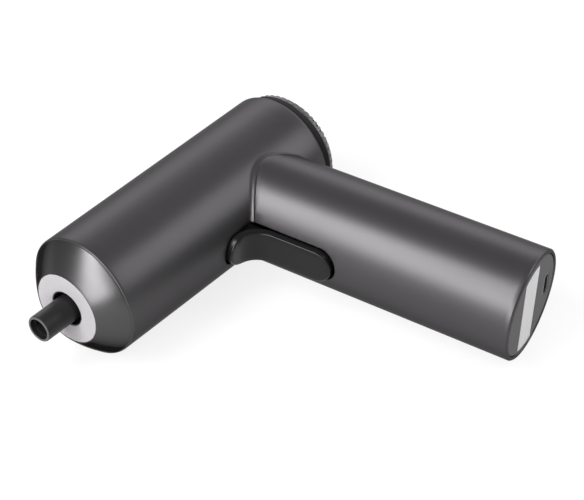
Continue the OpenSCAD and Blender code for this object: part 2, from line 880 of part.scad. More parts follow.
module input_carrier() {
  sun_x = output_back_x - end_gap / 2;
  color("slategray")
    difference() {
      union() {
        rod_x(input_back_x, input_front_x, carrier_r);
        spur(input_front_x - eps, sun_x - input_front_x + eps, sun_teeth);
      }
      planet_pins(input_back_x - 1, input_front_x + 1, input_pin_d / 2 + fix_gap / 4);
    }
}

module input_pins() {
  color("silver")
    planet_pins(input_gear_x - pin_tail, input_front_x, input_pin_d / 2);
}

module input_planet(i) {
  color("burlywood")
    planet(input_gear_x, input_gear_w, i * 120, input_pin_d / 2);
}

module input_planet_1() { input_planet(0); }
module input_planet_2() { input_planet(1); }
module input_planet_3() { input_planet(2); }

module motor_pinion() {
  color("gold")
    difference() {
      spur(washer_x, input_back_x - end_gap / 2 - washer_x, sun_teeth);
      rod_x(washer_x - 1, input_back_x + 1, shaft_d / 2 + fix_gap / 4);
    }
}

module thrust_washer() {
  color("silver")
    tube_x(washer_x, washer_x + washer_t, ring_tip_r - end_gap, bush_d / 2 + 4 * end_gap);
}

// Places of the two motor screws
module at_motor_screws() {
  for (side = [-1, 1])
    translate([0, 0, side * motor_screw_pitch / 2])
      children();
}

module motor_plate() {
  color("gray")
    difference() {
      rod_x(motor_x, motor_plate_front_x, housing_r);
      rod_x(motor_x - 1, motor_plate_front_x + 1, bush_d / 2 + bush_seat + fix_gap);
      at_motor_screws() {
        rod_x(motor_x - 1, motor_plate_front_x + 1, screw_r + fix_gap);
        rod_x(motor_plate_front_x - head_h - fix_gap, motor_plate_front_x + 1, head_d / 2 + fix_gap);
      }
    }
}

module motor_screws() {
  color("silver")
    at_motor_screws() {
      rod_x(motor_x - 2 * can_wall, motor_plate_front_x - head_h, screw_r);
      rod_x(motor_plate_front_x - head_h - fix_gap, motor_plate_front_x - fix_gap, head_d / 2);
    }
}

module motor_can() {
  color("lightgray")
    difference() {
      union() {
        rod_x(bell_x, motor_x, motor_r);
        rod_x(motor_x, motor_x + motor_plate_t / 2, bush_d / 2 + bush_seat);
      }
      rod_x(bell_x - 1, motor_x - can_wall, motor_r - can_wall);
      rod_x(bell_x, motor_x + motor_plate_t, bush_d / 2 + fix_gap / 4);
      at_motor_screws()
        rod_x(bell_x, motor_x + 1, screw_r + fix_gap / 4);
    }
}

module motor_end_bell() {
  color("#2c2c30")
    difference() {
      union() {
        rod_x(bell_back_x, bell_x, motor_r - fix_gap);
        rod_x(bell_back_x - bush_tail, bell_back_x, bush_d / 2 + 2 * bush_seat);
        for (side = [-1, 1])
          translate([bell_back_x - terminal_len, wire_y, side * wire_side])
            translate([0, -terminal_w / 2, -terminal_t / 2])
              cube([terminal_len + bell_t / 2, terminal_w, terminal_t]);
      }
      rod_x(bell_back_x - end_gap, bell_x + 1, bush_d / 2 + fix_gap / 4);
      rod_x(bell_back_x - 2 * bush_tail, bell_x + 1, shaft_d / 2 + end_gap);
    }
}

module motor_field_magnets() {
  outer = motor_r - can_wall - fix_gap;
  color("#4a4a4e")
    difference() {
      tube_x(bell_x + field_inset, motor_x - can_wall - field_inset, outer, outer - field_t);
      for (side = [-1, 1])
        block([bell_x, side < 0 ? -far : field_split, -far], [motor_x, side < 0 ? -field_split : far, far]);
    }
}

module motor_shaft() {
  color("silver")
    rod_x(bell_back_x - bush_tail, input_back_x - end_gap, shaft_d / 2);
}

module motor_armature() {
  front = motor_x - can_wall - stack_front;
  back = bell_x + stack_back;
  stack_r = motor_r - can_wall - fix_gap - field_t - air_gap;
  color("saddlebrown")
    difference() {
      union() {
        difference() {
          rod_x(back, front, stack_r);
          round_x(5)
            translate([0, 0, stack_r])
              rod_x(back - 1, front + 1, stack_slot_r);
        }
        rod_x(back - winding_len, front + winding_len, stack_r - winding_inset);
        rod_x(bell_x + 2 * end_gap, back, commutator_d / 2);
      }
      rod_x(bell_x, front + 2 * winding_len, shaft_d / 2 + fix_gap / 4);
    }
}

module motor_bushes() {
  color("peru") {
    tube_x(motor_x - can_wall, motor_x + motor_plate_t / 2, bush_d / 2, shaft_d / 2 + run_gap);
    tube_x(bell_back_x - end_gap, bell_x, bush_d / 2, shaft_d / 2 + run_gap);
  }
}

module motor_cradle() {
  color("#46484c")
    difference() {
      rod_x(bell_x + 2 * end_gap, motor_x - fix_gap, bore_fit);
      rod_x(bell_x, motor_x, motor_r + fix_gap);
      round_x(6, 30)
        translate([0, 0, bore_fit - hollow_depth + hollow_r])
          rod_x(bell_x + 2 * end_gap + cradle_end, motor_x - fix_gap - cradle_end, hollow_r);
    }
}

module rear_plate() {
  color("#1c1c1e")
    difference() {
      union() {
        rod_x(plate_back_x, plate_front_x, bore_fit);
        rod_x(neck_back_x, plate_front_x, neck_r);
        round_x(3)
          translate([0, 0, post_circle])
            rod_x(plate_front_x - 1, selector_x, post_d / 2);
      }
      rod_x(neck_back_x - 1, plate_front_x + 1, stem_d / 2 + run_gap);
      round_x(3)
        translate([0, 0, post_circle])
          rod_x(plate_front_x - 1, selector_x + 1, screw_r + fix_gap / 4);
    }
}

module mode_knob() {
  taper = shoulder_x - knob_back_x;
  slope = atan2(knob_r - knob_face_r, taper);
  run = norm([knob_r - knob_face_r, taper]);
  color("#3c3c40")
    difference() {
      union() {
        rod_x(shoulder_x, knob_front_x, knob_r);
        cone_x(knob_back_x, knob_face_r, shoulder_x, knob_r);
      }
      rod_x(knob_back_x - 1, knob_front_x + 1, stem_d / 2 + fix_gap / 4);
      tube_x(knob_back_x + knob_back_wall, knob_front_x + 1, knob_r - knob_wall, stem_d / 2 + hub_wall);
      rod_x(knob_back_x - 1, knob_back_x + dish_depth, knob_face_r - dish_rim);
      round_x(groove_count)
        translate([shoulder_x, 0, knob_r])
          rotate([0, 90 - slope, 0])
            rotate([0, 0, 45])
              cube([groove_w * 0.707, groove_w * 0.707, 2.6 * run], center = true);
    }
}

module knob_stem() {
  color("silver")
    union() {
      rod_x(knob_back_x + dish_depth, plate_front_x, stem_d / 2);
      rod_x(plate_front_x, selector_x - 2 * end_gap, tail_d / 2);
    }
}

module selector_switch() {
  half = selector_side / 2;
  color("black")
    difference() {
      block([plate_front_x + fix_gap, -half, -half], [selector_x, half, half]);
      rod_x(plate_front_x - 1, selector_x - end_gap, tail_d / 2 + run_gap);
    }
}

module selector_board() {
  color("darkgreen")
    difference() {
      rod_x(selector_x, selector_board_x, post_circle + post_d / 2 + screw_r);
      round_x(3)
        translate([0, 0, post_circle])
          rod_x(selector_x - 1, selector_board_x + 1, screw_r + fix_gap);
    }
}

module selector_screws() {
  color("silver")
    round_x(3)
      translate([0, 0, post_circle]) {
        rod_x(selector_x - post_screw_len, selector_board_x, screw_r);
        rod_x(selector_board_x, selector_board_x + head_h, head_d / 2);
      }
}

module handle_shell() {
  color("dimgray")
    difference() {
      on_handle()
        difference() {
          union() {
            handle_cone(0, 0, handle_len - rim_chamfer);
            translate([0, handle_len - rim_chamfer, 0])
              rotate([-90, 0, 0])
                cylinder(
                  h = rim_chamfer,
                  r1 = handle_r(handle_len - rim_chamfer),
                  r2 = handle_end_r - rim_chamfer
                );
          }
          handle_cone(handle_wall, -1, handle_len + 1);
          rod_down(cap_top, handle_len + 1, cap_seat_r);
        }
      rod_x(rear_x - far, 0, barrel_r + seam_w);
      trigger_opening();
    }
}

module neck_collar() {
  color("#46484c")
    difference() {
      on_handle()
        difference() {
          rod_down(collar_top, collar_reach, collar_r);
          rod_down(collar_top - 1, collar_reach + 1, collar_in);
          block([0, collar_top - 1, -collar_slot], [far, far, collar_slot]);
        }
      rod_x(rear_x - far, 0, barrel_in);
    }
}

// Outline of the trigger, seen square on each leg, made wider and longer by a margin
module trigger_mask(margin, end_margin) {
  half = trigger_half + margin;
  tip = trigger_tip_x + end_margin;
  reach = trigger_reach + end_margin;
  union() {
    intersection() {
      block([handle_x - far, -far, -half], [tip - half, far, half]);
      on_handle()
        block([-far, -far, -half], [far, reach - half, half]);
    }
    intersection() {
      translate([tip - half, 0, 0])
        rotate([-90, 0, 0])
          cylinder(h = fillet_y, r = half);
      on_handle()
        block([-far, -far, -half], [far, reach - half, half]);
    }
    on_handle()
      rod_forward(0, trigger_u + trigger_corner_r, half, reach - half);
  }
}

// Space cut through barrel and handle for the trigger
module trigger_opening() {
  intersection() {
    trigger_mask(trigger_gap, trigger_end_gap);
    union() {
      block([handle_x, barrel_in - 4, -far], [far, fillet_y, far]);
      on_handle()
        block([collar_r - 6, 0, -far], [trigger_u + 5, far, far]);
    }
  }
}

// The trigger's bent skin, wide enough to be cut by its mask
module trigger_skin() {
  difference() {
    union() {
      block([corner_x - 12, trigger_y - trigger_t, -far], [far, trigger_y, far]);
      on_handle()
        block([trigger_u - trigger_t, 0, -far], [trigger_u, far, far]);
      translate([0, 0, -far])
        linear_extrude(height = 2 * far)
          polygon([
            [corner_x, trigger_y],
            [fillet_x, trigger_y],
            [fillet_x, fillet_y],
            [fillet_x - trigger_corner_r * lean_c, fillet_y - trigger_corner_r * lean_s]
          ]);
    }
    block([-far, -far, -2 * far], [far, trigger_y - trigger_t, 2 * far]);
    on_handle()
      block([-far, -far, -2 * far], [trigger_u - trigger_t, far, 2 * far]);
    translate([fillet_x, fillet_y, 0])
      cylinder(h = 3 * far, r = trigger_corner_r, center = true);
  }
}

module trigger() {
  skin_u = trigger_u - trigger_t;
  color("#2a2a2c")
    union() {
      intersection() {
        trigger_mask(0, 0);
        trigger_skin();
      }
      on_handle()
        difference() {
          union() {
            for (side = [-1, 1]) {
              low = side < 0 ? -ear_out : ear_in;
              high = side < 0 ? -ear_in : ear_out;
              block([pin_front, pin_down - ear_r, low], [skin_u + eps, pin_down + ear_r, high]);
              translate([pin_front, pin_down, low])
                cylinder(h = high - low, r = ear_r);
            }
            rod_forward(button_top + forward_gap, skin_u + eps, plunger_d / 2, forward_down);
            rod_forward(button_top + reverse_gap, skin_u + eps, plunger_d / 2, reverse_down);
          }
          translate([pin_front, pin_down, 0])
            cylinder(h = far, r = pin_d / 2 + run_gap, center = true);
        }
    }
}

module trigger_pin() {
  color("silver")
    on_handle()
      translate([pin_front, pin_down, 0])
        cylinder(h = 2 * bracket_out, r = pin_d / 2, center = true);
}

module trigger_bracket() {
  color("#46484c")
    on_handle()
      difference() {
        union() {
          block(
            [bracket_floor_u, bracket_start, -bracket_out],
            [switch_floor_u, bracket_end, bracket_out]
          );
          for (side = [-1, 1]) {
            low = side < 0 ? -bracket_out : bracket_in;
            high = side < 0 ? -bracket_in : bracket_out;
            block(
              [bracket_floor_u, pin_down - bracket_side_len / 2, low],
              [pin_front, pin_down + bracket_side_len / 2, high]
            );
            translate([pin_front, pin_down, low])
              cylinder(h = high - low, r = ear_r);
          }
        }
        translate([pin_front, pin_down, 0])
          cylinder(h = far, r = pin_d / 2 + fix_gap / 4, center = true);
      }
}

module switch_board() {
  half = bracket_in - fix_gap;
  color("darkgreen")
    on_handle()
      block(
        [switch_floor_u, bracket_start + end_gap, -half],
        [switch_front, bracket_end - end_gap, half]
      );
}

module button_switches() {
  half = switch_side / 2;
  color("lightgray")
    on_handle()
      for (s = [forward_down, reverse_down]) {
        block([switch_front, s - half, -half], [switch_front + switch_h, s + half, half]);
        rod_forward(switch_front + switch_h, button_top, button_d / 2, s);
      }
}

module battery_cell() {
  color("mediumseagreen")
    on_handle()
      union() {
        rod_down(cell_top + pole_h, cell_bottom, cell_r, -cell_back);
        rod_down(cell_top, cell_top + pole_h, pole_d / 2, -cell_back);
      }
}

module battery_contacts() {
  color("gold")
    on_handle() {
      rod_down(cell_top - contact_t, cell_top, contact_d / 2, -cell_back);
      rod_down(cell_bottom, cell_bottom + contact_t, contact_d / 2, -cell_back);
    }
}

// Space for the cell and its contacts
module cell_room() {
  rod_down(cell_top - contact_t, cell_bottom + contact_t, cradle_in, -cell_back);
}

module battery_cradle() {
  first = cell_top + rib_inset;
  last = cell_bottom - rib_inset - rib_t;
  color("#5a5c60")
    on_handle()
      union() {
        difference() {
          rod_down(cradle_top, cradle_bottom, cradle_out, -cell_back);
          cell_room();
          block([-cell_back, cell_top - contact_t, -far], [far, cell_bottom + contact_t, far]);
          for (side = [-1, 1])
            rod_down(cradle_top - 1, cell_top, wire_d / 2 + end_gap, wire_front, side * wire_side);
        }
        difference() {
          union() {
            for (s = [first, (first + last) / 2, last])
              intersection() {
                rod_down(s, s + rib_t, collar_r);
                block([-far, s - 1, -far], [-cell_back, s + rib_t + 1, far]);
              }
            for (side = [-1, 1])
              block(
                [-cell_back - rib_t, control_start, side > 0 ? rail_out - rail_w : -rail_out],
                [control_front, control_end, side > 0 ? rail_out : rail_w - rail_out]
              );
          }
          cell_room();
        }
      }
}

module control_board() {
  color("darkgreen")
    on_handle()
      block([control_front, control_start, -control_w / 2], [control_top, control_end, control_w / 2]);
}

module board_parts() {
  color("black")
    on_handle() {
      for (k = [0 : 3])
        block(
          [control_top, control_start + (k + 0.5) * chip_pitch, -chip_w / 2],
          [control_top + chip_h, control_start + (k + 1.2) * chip_pitch, chip_w / 2]
        );
      rod_forward(control_top, control_top + can_h, can_d / 2, control_end - can_d);
    }
}

module charge_board() {
  color("darkgreen")
    on_handle()
      rod_down(charge_top, charge_front, collar_r - 2 * end_gap);
}

// Outline of the charge socket, a rounded slot along Z
module port_slot(s0, s1, w, h) {
  for (side = [-1, 1])
    rod_down(s0, s1, h / 2, -port_back, side * (w - h) / 2);
  block([-port_back - h / 2, s0, -(w - h) / 2], [-port_back + h / 2, s1, (w - h) / 2]);
}

module charge_socket() {
  floor_s = charge_front + 2 * port_wall;
  color("lightgray")
    on_handle()
      union() {
        difference() {
          port_slot(charge_front, port_out, port_w, port_h);
          port_slot(floor_s, port_out + 1, port_w - 2 * port_wall, port_h - 2 * port_wall);
        }
        block(
          [-port_back - tongue_t / 2, charge_front, -port_w / 2 + 4 * port_wall],
          [-port_back + tongue_t / 2, port_out - 2 * port_wall, port_w / 2 - 4 * port_wall]
        );
      }
}

module base_cap() {
  skirt_r = handle_in(charge_front) - fix_gap;
  color("#6f7074")
    on_handle()
      difference() {
        union() {
          rod_down(cap_top, cap_bottom, cap_seat_r - fix_gap);
          rod_down(charge_front, cap_top, skirt_r);
        }
        rod_down(charge_front - 1, cap_top - eps, skirt_r - skirt_wall);
        port_slot(cap_top - 1, cap_bottom + 1, port_w + 2 * fix_gap, port_h + 2 * fix_gap);
        plate_outline(cap_bottom - plate_t, cap_bottom + 1, 0);
      }
}

// The blank plate's space, across the whole cap
module plate_outline(s0, s1, inset) {
  low = plate_front - plate_w / 2 + inset;
  high = plate_front + plate_w / 2 - inset;
  intersection() {
    block([low, s0, -far], [high, s1, far]);
    rod_down(s0, s1, cap_seat_r - plate_rim - inset);
  }
}

module base_plate() {
  color("gainsboro")
    on_handle()
      plate_outline(cap_bottom - plate_t, cap_bottom, fix_gap / 2);
}

// Leads from the motor's terminals to the upper battery contact
module motor_leads() {
  thin_r = wire_d / 2 - fix_gap;
  color("crimson")
    for (side = [-1, 1]) {
      translate([0, wire_y, side * wire_side])
        rod_x(wire_x - wire_d, bell_back_x - terminal_len, thin_r);
      on_handle()
        rod_down(wire_start - wire_d, cell_top - contact_t, wire_d / 2, wire_front, side * wire_side);
    }
}

// Flat cable between the switch board and the control board
module flat_cable() {
  low = switch_floor_u + fix_gap * 3;
  end = control_start + 2 * cable_t;
  color("tan")
    on_handle()
      union() {
        block([low, bracket_end - end_gap, -cable_w / 2], [low + cable_t, end, cable_w / 2]);
        block([low, end - cable_t, -cable_w / 2], [control_front, end, cable_w / 2]);
      }
}

barrel_shell();
nose_cone();
light_ring();
led_board();
led_lamps();
spindle();
bit_magnet();
spindle_clip();
bearing_outer_race();
bearing_inner_race();
bearing_balls();
bearing_cage();
gearbox_cover();
ring_gear_housing();
gearbox_screws();
output_carrier();
output_pins();
output_planet_1();
output_planet_2();
output_planet_3();
input_carrier();
input_pins();
input_planet_1();
input_planet_2();
input_planet_3();
motor_pinion();
thrust_washer();
motor_plate();
motor_screws();
motor_can();
motor_end_bell();
motor_field_magnets();
motor_shaft();
motor_armature();
motor_bushes();
motor_cradle();
rear_plate();
mode_knob();
knob_stem();
selector_switch();
selector_board();
selector_screws();
handle_shell();
neck_collar();
trigger();
trigger_pin();
trigger_bracket();
switch_board();
button_switches();
battery_cell();
battery_contacts();
battery_cradle();
control_board();
board_parts();
charge_board();
charge_socket();
base_cap();
base_plate();
motor_leads();
flat_cable();
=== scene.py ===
"""Looks of the cordless screwdriver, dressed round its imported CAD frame.

Lengths in the classes below are millimetres in the frame of the CAD part,
and become metres when a mesh is made. The barrel turns about X with the
mouth of the bit socket at the origin, and the handle leans back from it.
Flat points are pairs: a distance along a piece and one across it, or both
across it for the end cap.
"""

from __future__ import annotations

import json
import logging
import math
from dataclasses import dataclass, field, replace
from enum import Enum
from typing import Callable, Iterable, Sequence

import bpy
import bmesh
import numpy as np
from mathutils import Matrix, Quaternion, Vector
from mathutils.geometry import delaunay_2d_cdt

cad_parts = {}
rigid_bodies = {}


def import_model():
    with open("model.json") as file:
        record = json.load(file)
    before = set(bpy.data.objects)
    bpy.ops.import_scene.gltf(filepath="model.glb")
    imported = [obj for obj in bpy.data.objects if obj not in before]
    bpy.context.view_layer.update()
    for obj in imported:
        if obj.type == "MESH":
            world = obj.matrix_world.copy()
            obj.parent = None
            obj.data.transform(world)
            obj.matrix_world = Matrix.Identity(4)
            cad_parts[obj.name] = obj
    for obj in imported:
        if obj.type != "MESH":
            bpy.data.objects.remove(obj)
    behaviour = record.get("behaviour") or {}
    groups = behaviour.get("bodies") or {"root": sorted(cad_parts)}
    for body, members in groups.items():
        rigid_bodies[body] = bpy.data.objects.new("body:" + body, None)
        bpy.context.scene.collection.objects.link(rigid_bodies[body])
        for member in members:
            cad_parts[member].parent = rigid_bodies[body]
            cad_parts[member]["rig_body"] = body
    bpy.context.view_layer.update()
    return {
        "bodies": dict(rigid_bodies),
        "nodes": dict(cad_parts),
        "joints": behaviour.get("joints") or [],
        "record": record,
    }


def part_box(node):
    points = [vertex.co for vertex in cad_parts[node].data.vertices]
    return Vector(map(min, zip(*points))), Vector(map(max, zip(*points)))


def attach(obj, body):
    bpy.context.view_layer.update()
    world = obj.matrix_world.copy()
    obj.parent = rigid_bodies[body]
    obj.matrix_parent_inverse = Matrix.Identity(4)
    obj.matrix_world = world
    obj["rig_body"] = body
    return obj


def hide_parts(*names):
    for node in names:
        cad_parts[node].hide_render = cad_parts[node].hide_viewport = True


LOG = logging.getLogger("screwdriver")
# One millimetre in metres
MM = 0.001
# Faces round a full turn
ROUND = 160
# Distance within which points of a mesh become one
WELD = 0.004
# Distances within which a flat point lies on a seam, and on another flat point
NEAR = 0.01
SAME = 1e-5
# Added to a distance to rule a place out
FAR = 100.0
# Room between an edge and the free points beside it
CLEAR = 0.35
# Share of an outline's side that the rounding of one corner may take
SIDE_SHARE = 0.49
# Angles round a rounded edge at which it has points
EDGE_ANGLES = (0, 30, 60, 90)

Points = np.ndarray
Corner = tuple[float, ...]
Colour = tuple[float, float, float]
Inputs = dict[str | int, object]


# Shapes


@dataclass(frozen=True)
class Axis:
    """A turning axis: a point on it, its direction and two cross directions."""

    origin: tuple[float, float, float]
    along: tuple[float, float, float]
    first: tuple[float, float, float]
    second: tuple[float, float, float] = (0.0, 0.0, 1.0)

    def turn(self, station: object, radius: object, angle: object) -> Points:
        """Finds points round the axis.

        Args:
            station: Distances along the axis.
            radius: Distances from the axis.
            angle: Angles from the first cross direction, in radians.

        Returns:
            One point for each set of the three.
        """
        return self.flat(station, radius * np.cos(angle), radius * np.sin(angle))

    def flat(self, station: object, one: object, two: object) -> Points:
        """Finds points from distances along the axis and its cross directions.

        Args:
            station: Distances along the axis.
            one: Distances along the first cross direction.
            two: Distances along the second cross direction.

        Returns:
            One point for each set of the three.
        """
        s, a, b = np.broadcast_arrays(*(np.asarray(v, float) for v in (station, one, two)))
        return (
            np.array(self.origin)
            + s[..., None] * np.array(self.along)
            + a[..., None] * np.array(self.first)
            + b[..., None] * np.array(self.second)
        )

    def off(self, points: Points) -> Points:
        """Gives the distance of each point from the axis.

        Args:
            points: The points.

        Returns:
            Their distances.
        """
        along = np.array(self.along)
        away = points - np.array(self.origin)
        return np.linalg.norm(away - (away @ along)[..., None] * along, axis=-1)


LEAN = math.radians(11.7)
BARREL_AXIS = Axis((0, 0, 0), (1, 0, 0), (0, 1, 0))
HANDLE_AXIS = Axis(
    (-94.6, 0, 0), (-math.sin(LEAN), math.cos(LEAN), 0), (math.cos(LEAN), math.sin(LEAN), 0)
)


def new_object(name: str, data: bpy.types.ID) -> bpy.types.Object:
    """Makes an object and links it to the scene.

    Args:
        name: Its name.
        data: Its mesh, lamp or camera.

    Returns:
        The object.
    """
    made = bpy.data.objects.new(name, data)
    bpy.context.scene.collection.objects.link(made)
    return made


def rounded(corners: Sequence[Corner], arc_steps: int = 4) -> list[tuple[float, float]]:
    """Rounds the corners of a closed outline.

    Args:
        corners: Each corner as two coordinates and, where it is rounded, how
            far from the corner the rounding starts.
        arc_steps: Steps in one rounding.

    Returns:
        The outline's points in order.
    """
    made: list[tuple[float, float]] = []
    for i, corner in enumerate(corners):
        here = np.array(corner[:2], float)
        cut = corner[2] if len(corner) > 2 else 0.0
        if cut == 0:
            made.append((float(here[0]), float(here[1])))
            continue
        sides = []
        for other in (corners[i - 1], corners[(i + 1) % len(corners)]):
            way = np.array(other[:2], float) - here
            reach = float(np.linalg.norm(way))
            sides.append(here + way / reach * min(cut, SIDE_SHARE * reach))
        for t in np.linspace(0, 1, arc_steps + 1):
            point = (1 - t) ** 2 * sides[0] + 2 * t * (1 - t) * here + t * t * sides[1]
            made.append((float(point[0]), float(point[1])))
    return made


def edge_drop(away: Points, edge: float) -> Points:
    """How deep a rounded edge lies below its face, by the distance from the edge."""
    near = np.clip(away, 0, edge)
    return edge - np.sqrt(np.maximum(edge * edge - (edge - near) ** 2, 0))


def edge_steps(edge: float) -> list[float]:
    """Distances from an edge at which a rounding of that size has its rings of points."""
    return [edge * (1 - math.sin(math.radians(a))) for a in EDGE_ANGLES]


def lattice(along: Iterable[float], across: Sequence[float]) -> Points:
    """All flat points with one of some distances along and one of some across."""
    return np.array([(a, b) for a in along for b in across])


def row(along: Points, across: float) -> Points:
    """Flat points at some distances along and one distance across."""
    return np.column_stack([along, np.full(len(along), across)])


def arc(middle: float, radius: float, turn: Points) -> Points:
    """Flat points at some angles round a point of the middle line."""
    return np.column_stack([middle + radius * np.cos(turn), radius * np.sin(turn)])


def on_seam(middle: Points, stations: Sequence[float], across: float) -> bool:
    """Says whether the middle of an edge lies where other faces continue.

    Args:
        middle: The flat point.
        stations: Distances along at which a sheet goes on.
        across: Distance across, to either side, at which it meets itself.

    Returns:
        Whether it does.
    """
    meets_itself = abs(abs(middle[1]) - across) < NEAR
    return meets_itself or any(abs(middle[0] - station) < NEAR for station in stations)


class Shape:
    """Points and faces gathered in millimetres, then made one mesh."""

    def __init__(self) -> None:
        """Starts with nothing in it."""
        self.blocks: list[Points] = []
        self.faces: list[tuple[int, ...]] = []
        self.count = 0

    def add(self, points: Points, faces: Iterable[Sequence[int]]) -> None:
        """Adds points and the faces between them.

        Args:
            points: The new points.
            faces: Faces, numbered from the first new point.
        """
        block = np.asarray(points, float).reshape(-1, 3)
        self.faces += [tuple(self.count + int(i) for i in face) for face in faces]
        self.blocks.append(block)
        self.count += len(block)

    def loft(self, rings: Sequence[Points], ends: bool = False, closed: bool = False) -> None:
        """Joins closed rings of points with strips of faces.

        Args:
            rings: The rings, with as many points in each.
            ends: Whether the first and last rings are filled.
            closed: Whether the last ring is joined to the first.
        """
        n, m = len(rings[0]), len(rings)
        faces: list[Sequence[int]] = []
        for i in range(m if closed else m - 1):
            low, high = i * n, (i + 1) % m * n
            for k in range(n):
                j = (k + 1) % n
                faces.append((low + k, low + j, high + j, high + k))
        if ends:
            faces += [tuple(range(n - 1, -1, -1)), tuple(range((m - 1) * n, m * n))]
        self.add(np.concatenate(rings), faces)

    def lathe(
        self, axis: Axis, profile: Sequence[tuple[float, float]], steps: int = ROUND, closed: bool = True
    ) -> None:
        """Turns a profile round an axis.

        Args:
            axis: The axis.
            profile: Stations and radii.
            steps: Faces round a full turn.
            closed: Whether the profile is a closed outline.
        """
        angles = -math.pi + 2 * math.pi * np.arange(steps) / steps
        self.loft([axis.turn(s, r, angles) for s, r in profile], closed=closed)

    def block(self, axis: Axis, low: Corner, high: Corner) -> None:
        """Adds a box between two corners given in an axis's own directions."""
        ring = [(low[1], low[2]), (high[1], low[2]), (high[1], high[2]), (low[1], high[2])]
        self.loft([np.array([axis.flat(s, a, b) for a, b in ring]) for s in (low[0], high[0])], ends=True)

    def patch(
        self,
        loops: Sequence[tuple[Points, bool]],
        spots: Points,
        keep: Callable[[Points], Points],
        outer: Callable[[Points], Points],
        inner: Callable[[Points], Points],
        joined: Callable[[Points], bool] = lambda middle: False,
    ) -> None:
        """Lays a cut-out sheet on a curved surface and gives it a thickness.

        Args:
            loops: Lines of flat points that edges follow, and whether each closes.
            spots: Further flat points.
            keep: Says of flat points which lie on the sheet.
            outer: Puts flat points on the outer surface.
            inner: Puts flat points on the inner surface.
            joined: Says of an edge's middle whether other faces continue there.
        """
        flat = [spots]
        edges: list[tuple[int, int]] = []
        start = len(spots)
        for loop, closes in loops:
            flat.append(loop)
            last = start + len(loop) - 1
            edges += [(k, k + 1) for k in range(start, last)]
            if closes:
                edges.append((last, start))
            start = last + 1
        found = delaunay_2d_cdt([Vector(p) for p in np.concatenate(flat)], edges, [], 0, SAME)
        points = np.array([tuple(v) for v in found[0]])
        corners = np.array([f for f in found[2] if len(f) == 3])
        corners = corners[keep(points[corners].mean(axis=1))]
        used, numbers = np.unique(corners, return_inverse=True)
        points, corners = points[used], numbers.reshape(-1, 3)
        n = len(points)
        sides = np.concatenate([corners[:, [0, 1]], corners[:, [1, 2]], corners[:, [2, 0]]])
        seen = {(int(a), int(b)) for a, b in sides}
        rims = [(a, b) for a, b in seen if (b, a) not in seen and not joined((points[a] + points[b]) / 2)]
        faces = [tuple(f) for f in corners] + [tuple(f[::-1] + n) for f in corners]
        faces += [(b, a, a + n, b + n) for a, b in rims]
        self.add(np.concatenate([outer(points), inner(points)]), faces)

    def build(self, name: str, finish: bpy.types.Material, sharp: float = 38) -> bpy.types.Object:
        """Makes the mesh object.

        Args:
            name: The piece's name.
            finish: Its material.
            sharp: Angle in degrees past which an edge is drawn sharp.

        Returns:
            The new object, linked to the scene.
        """
        mesh = bpy.data.meshes.new(name)
        work = bmesh.new()
        at = [work.verts.new(p) for p in np.concatenate(self.blocks) * MM]
        for face in self.faces:
            if len(set(face)) == len(face):
                work.faces.new([at[i] for i in face])
        bmesh.ops.remove_doubles(work, verts=work.verts, dist=WELD * MM)
        bmesh.ops.dissolve_degenerate(work, edges=work.edges, dist=WELD * MM / 4)
        bmesh.ops.recalc_face_normals(work, faces=work.faces)
        open_edges = sum(1 for e in work.edges if not e.is_manifold)
        work.to_mesh(mesh)
        work.free()
        mesh.polygons.foreach_set("use_smooth", np.ones(len(mesh.polygons), bool))
        mesh.set_sharp_from_angle(angle=math.radians(sharp))
        mesh.materials.append(finish)
        LOG.info("%s: %d faces, %d open edges", name, len(mesh.polygons), open_edges)
        return new_object(name, mesh)


# Node trees


class Graph:
    """A node tree whose nodes are added with their inputs set or linked."""

    def __init__(self, tree: bpy.types.NodeTree) -> None:
        """Keeps the tree.

        Args:
            tree: The tree.
        """
        self.tree = tree
        self.sockets: dict[str, str] = {}

    @classmethod
    def group(cls, name: str, kind: str, given: dict[str, str], out: dict[str, str]) -> Graph:
        """Makes a node group with named sockets.

        Args:
            name: The group's name.
            kind: The kind of tree.
            given: The name and kind of each input.
            out: The name and kind of each output.

        Returns:
            The new group's graph, which knows each socket's identifier.
        """
        graph = cls(bpy.data.node_groups.new(name, kind))
        for way, sockets in (("INPUT", given), ("OUTPUT", out)):
            for word, sort in sockets.items():
                made = graph.tree.interface.new_socket(word, in_out=way, socket_type="NodeSocket" + sort)
                graph.sockets[word] = made.identifier
        return graph

    def feed(self, node: bpy.types.Node, inputs: Inputs) -> None:
        """Sets or links a node's inputs.

        Args:
            node: The node.
            inputs: A value, a socket or a node for each input. A node stands
                for its first output.
        """
        for key, value in inputs.items():
            if isinstance(value, bpy.types.Node):
                value = value.outputs[0]
            if isinstance(value, bpy.types.NodeSocket):
                self.tree.links.new(value, node.inputs[key])
            else:
                node.inputs[key].default_value = value

    def add(self, kind: str, inputs: Inputs | None = None, **settings: object) -> bpy.types.Node:
        """Adds a node.

        Args:
            kind: The node's kind.
            inputs: What its inputs get, as feed takes it.
            **settings: Its other settings, made before its inputs.

        Returns:
            The node.
        """
        node = self.tree.nodes.new(kind)
        for word, value in settings.items():
            setattr(node, word, value)
        self.feed(node, inputs or {})
        return node


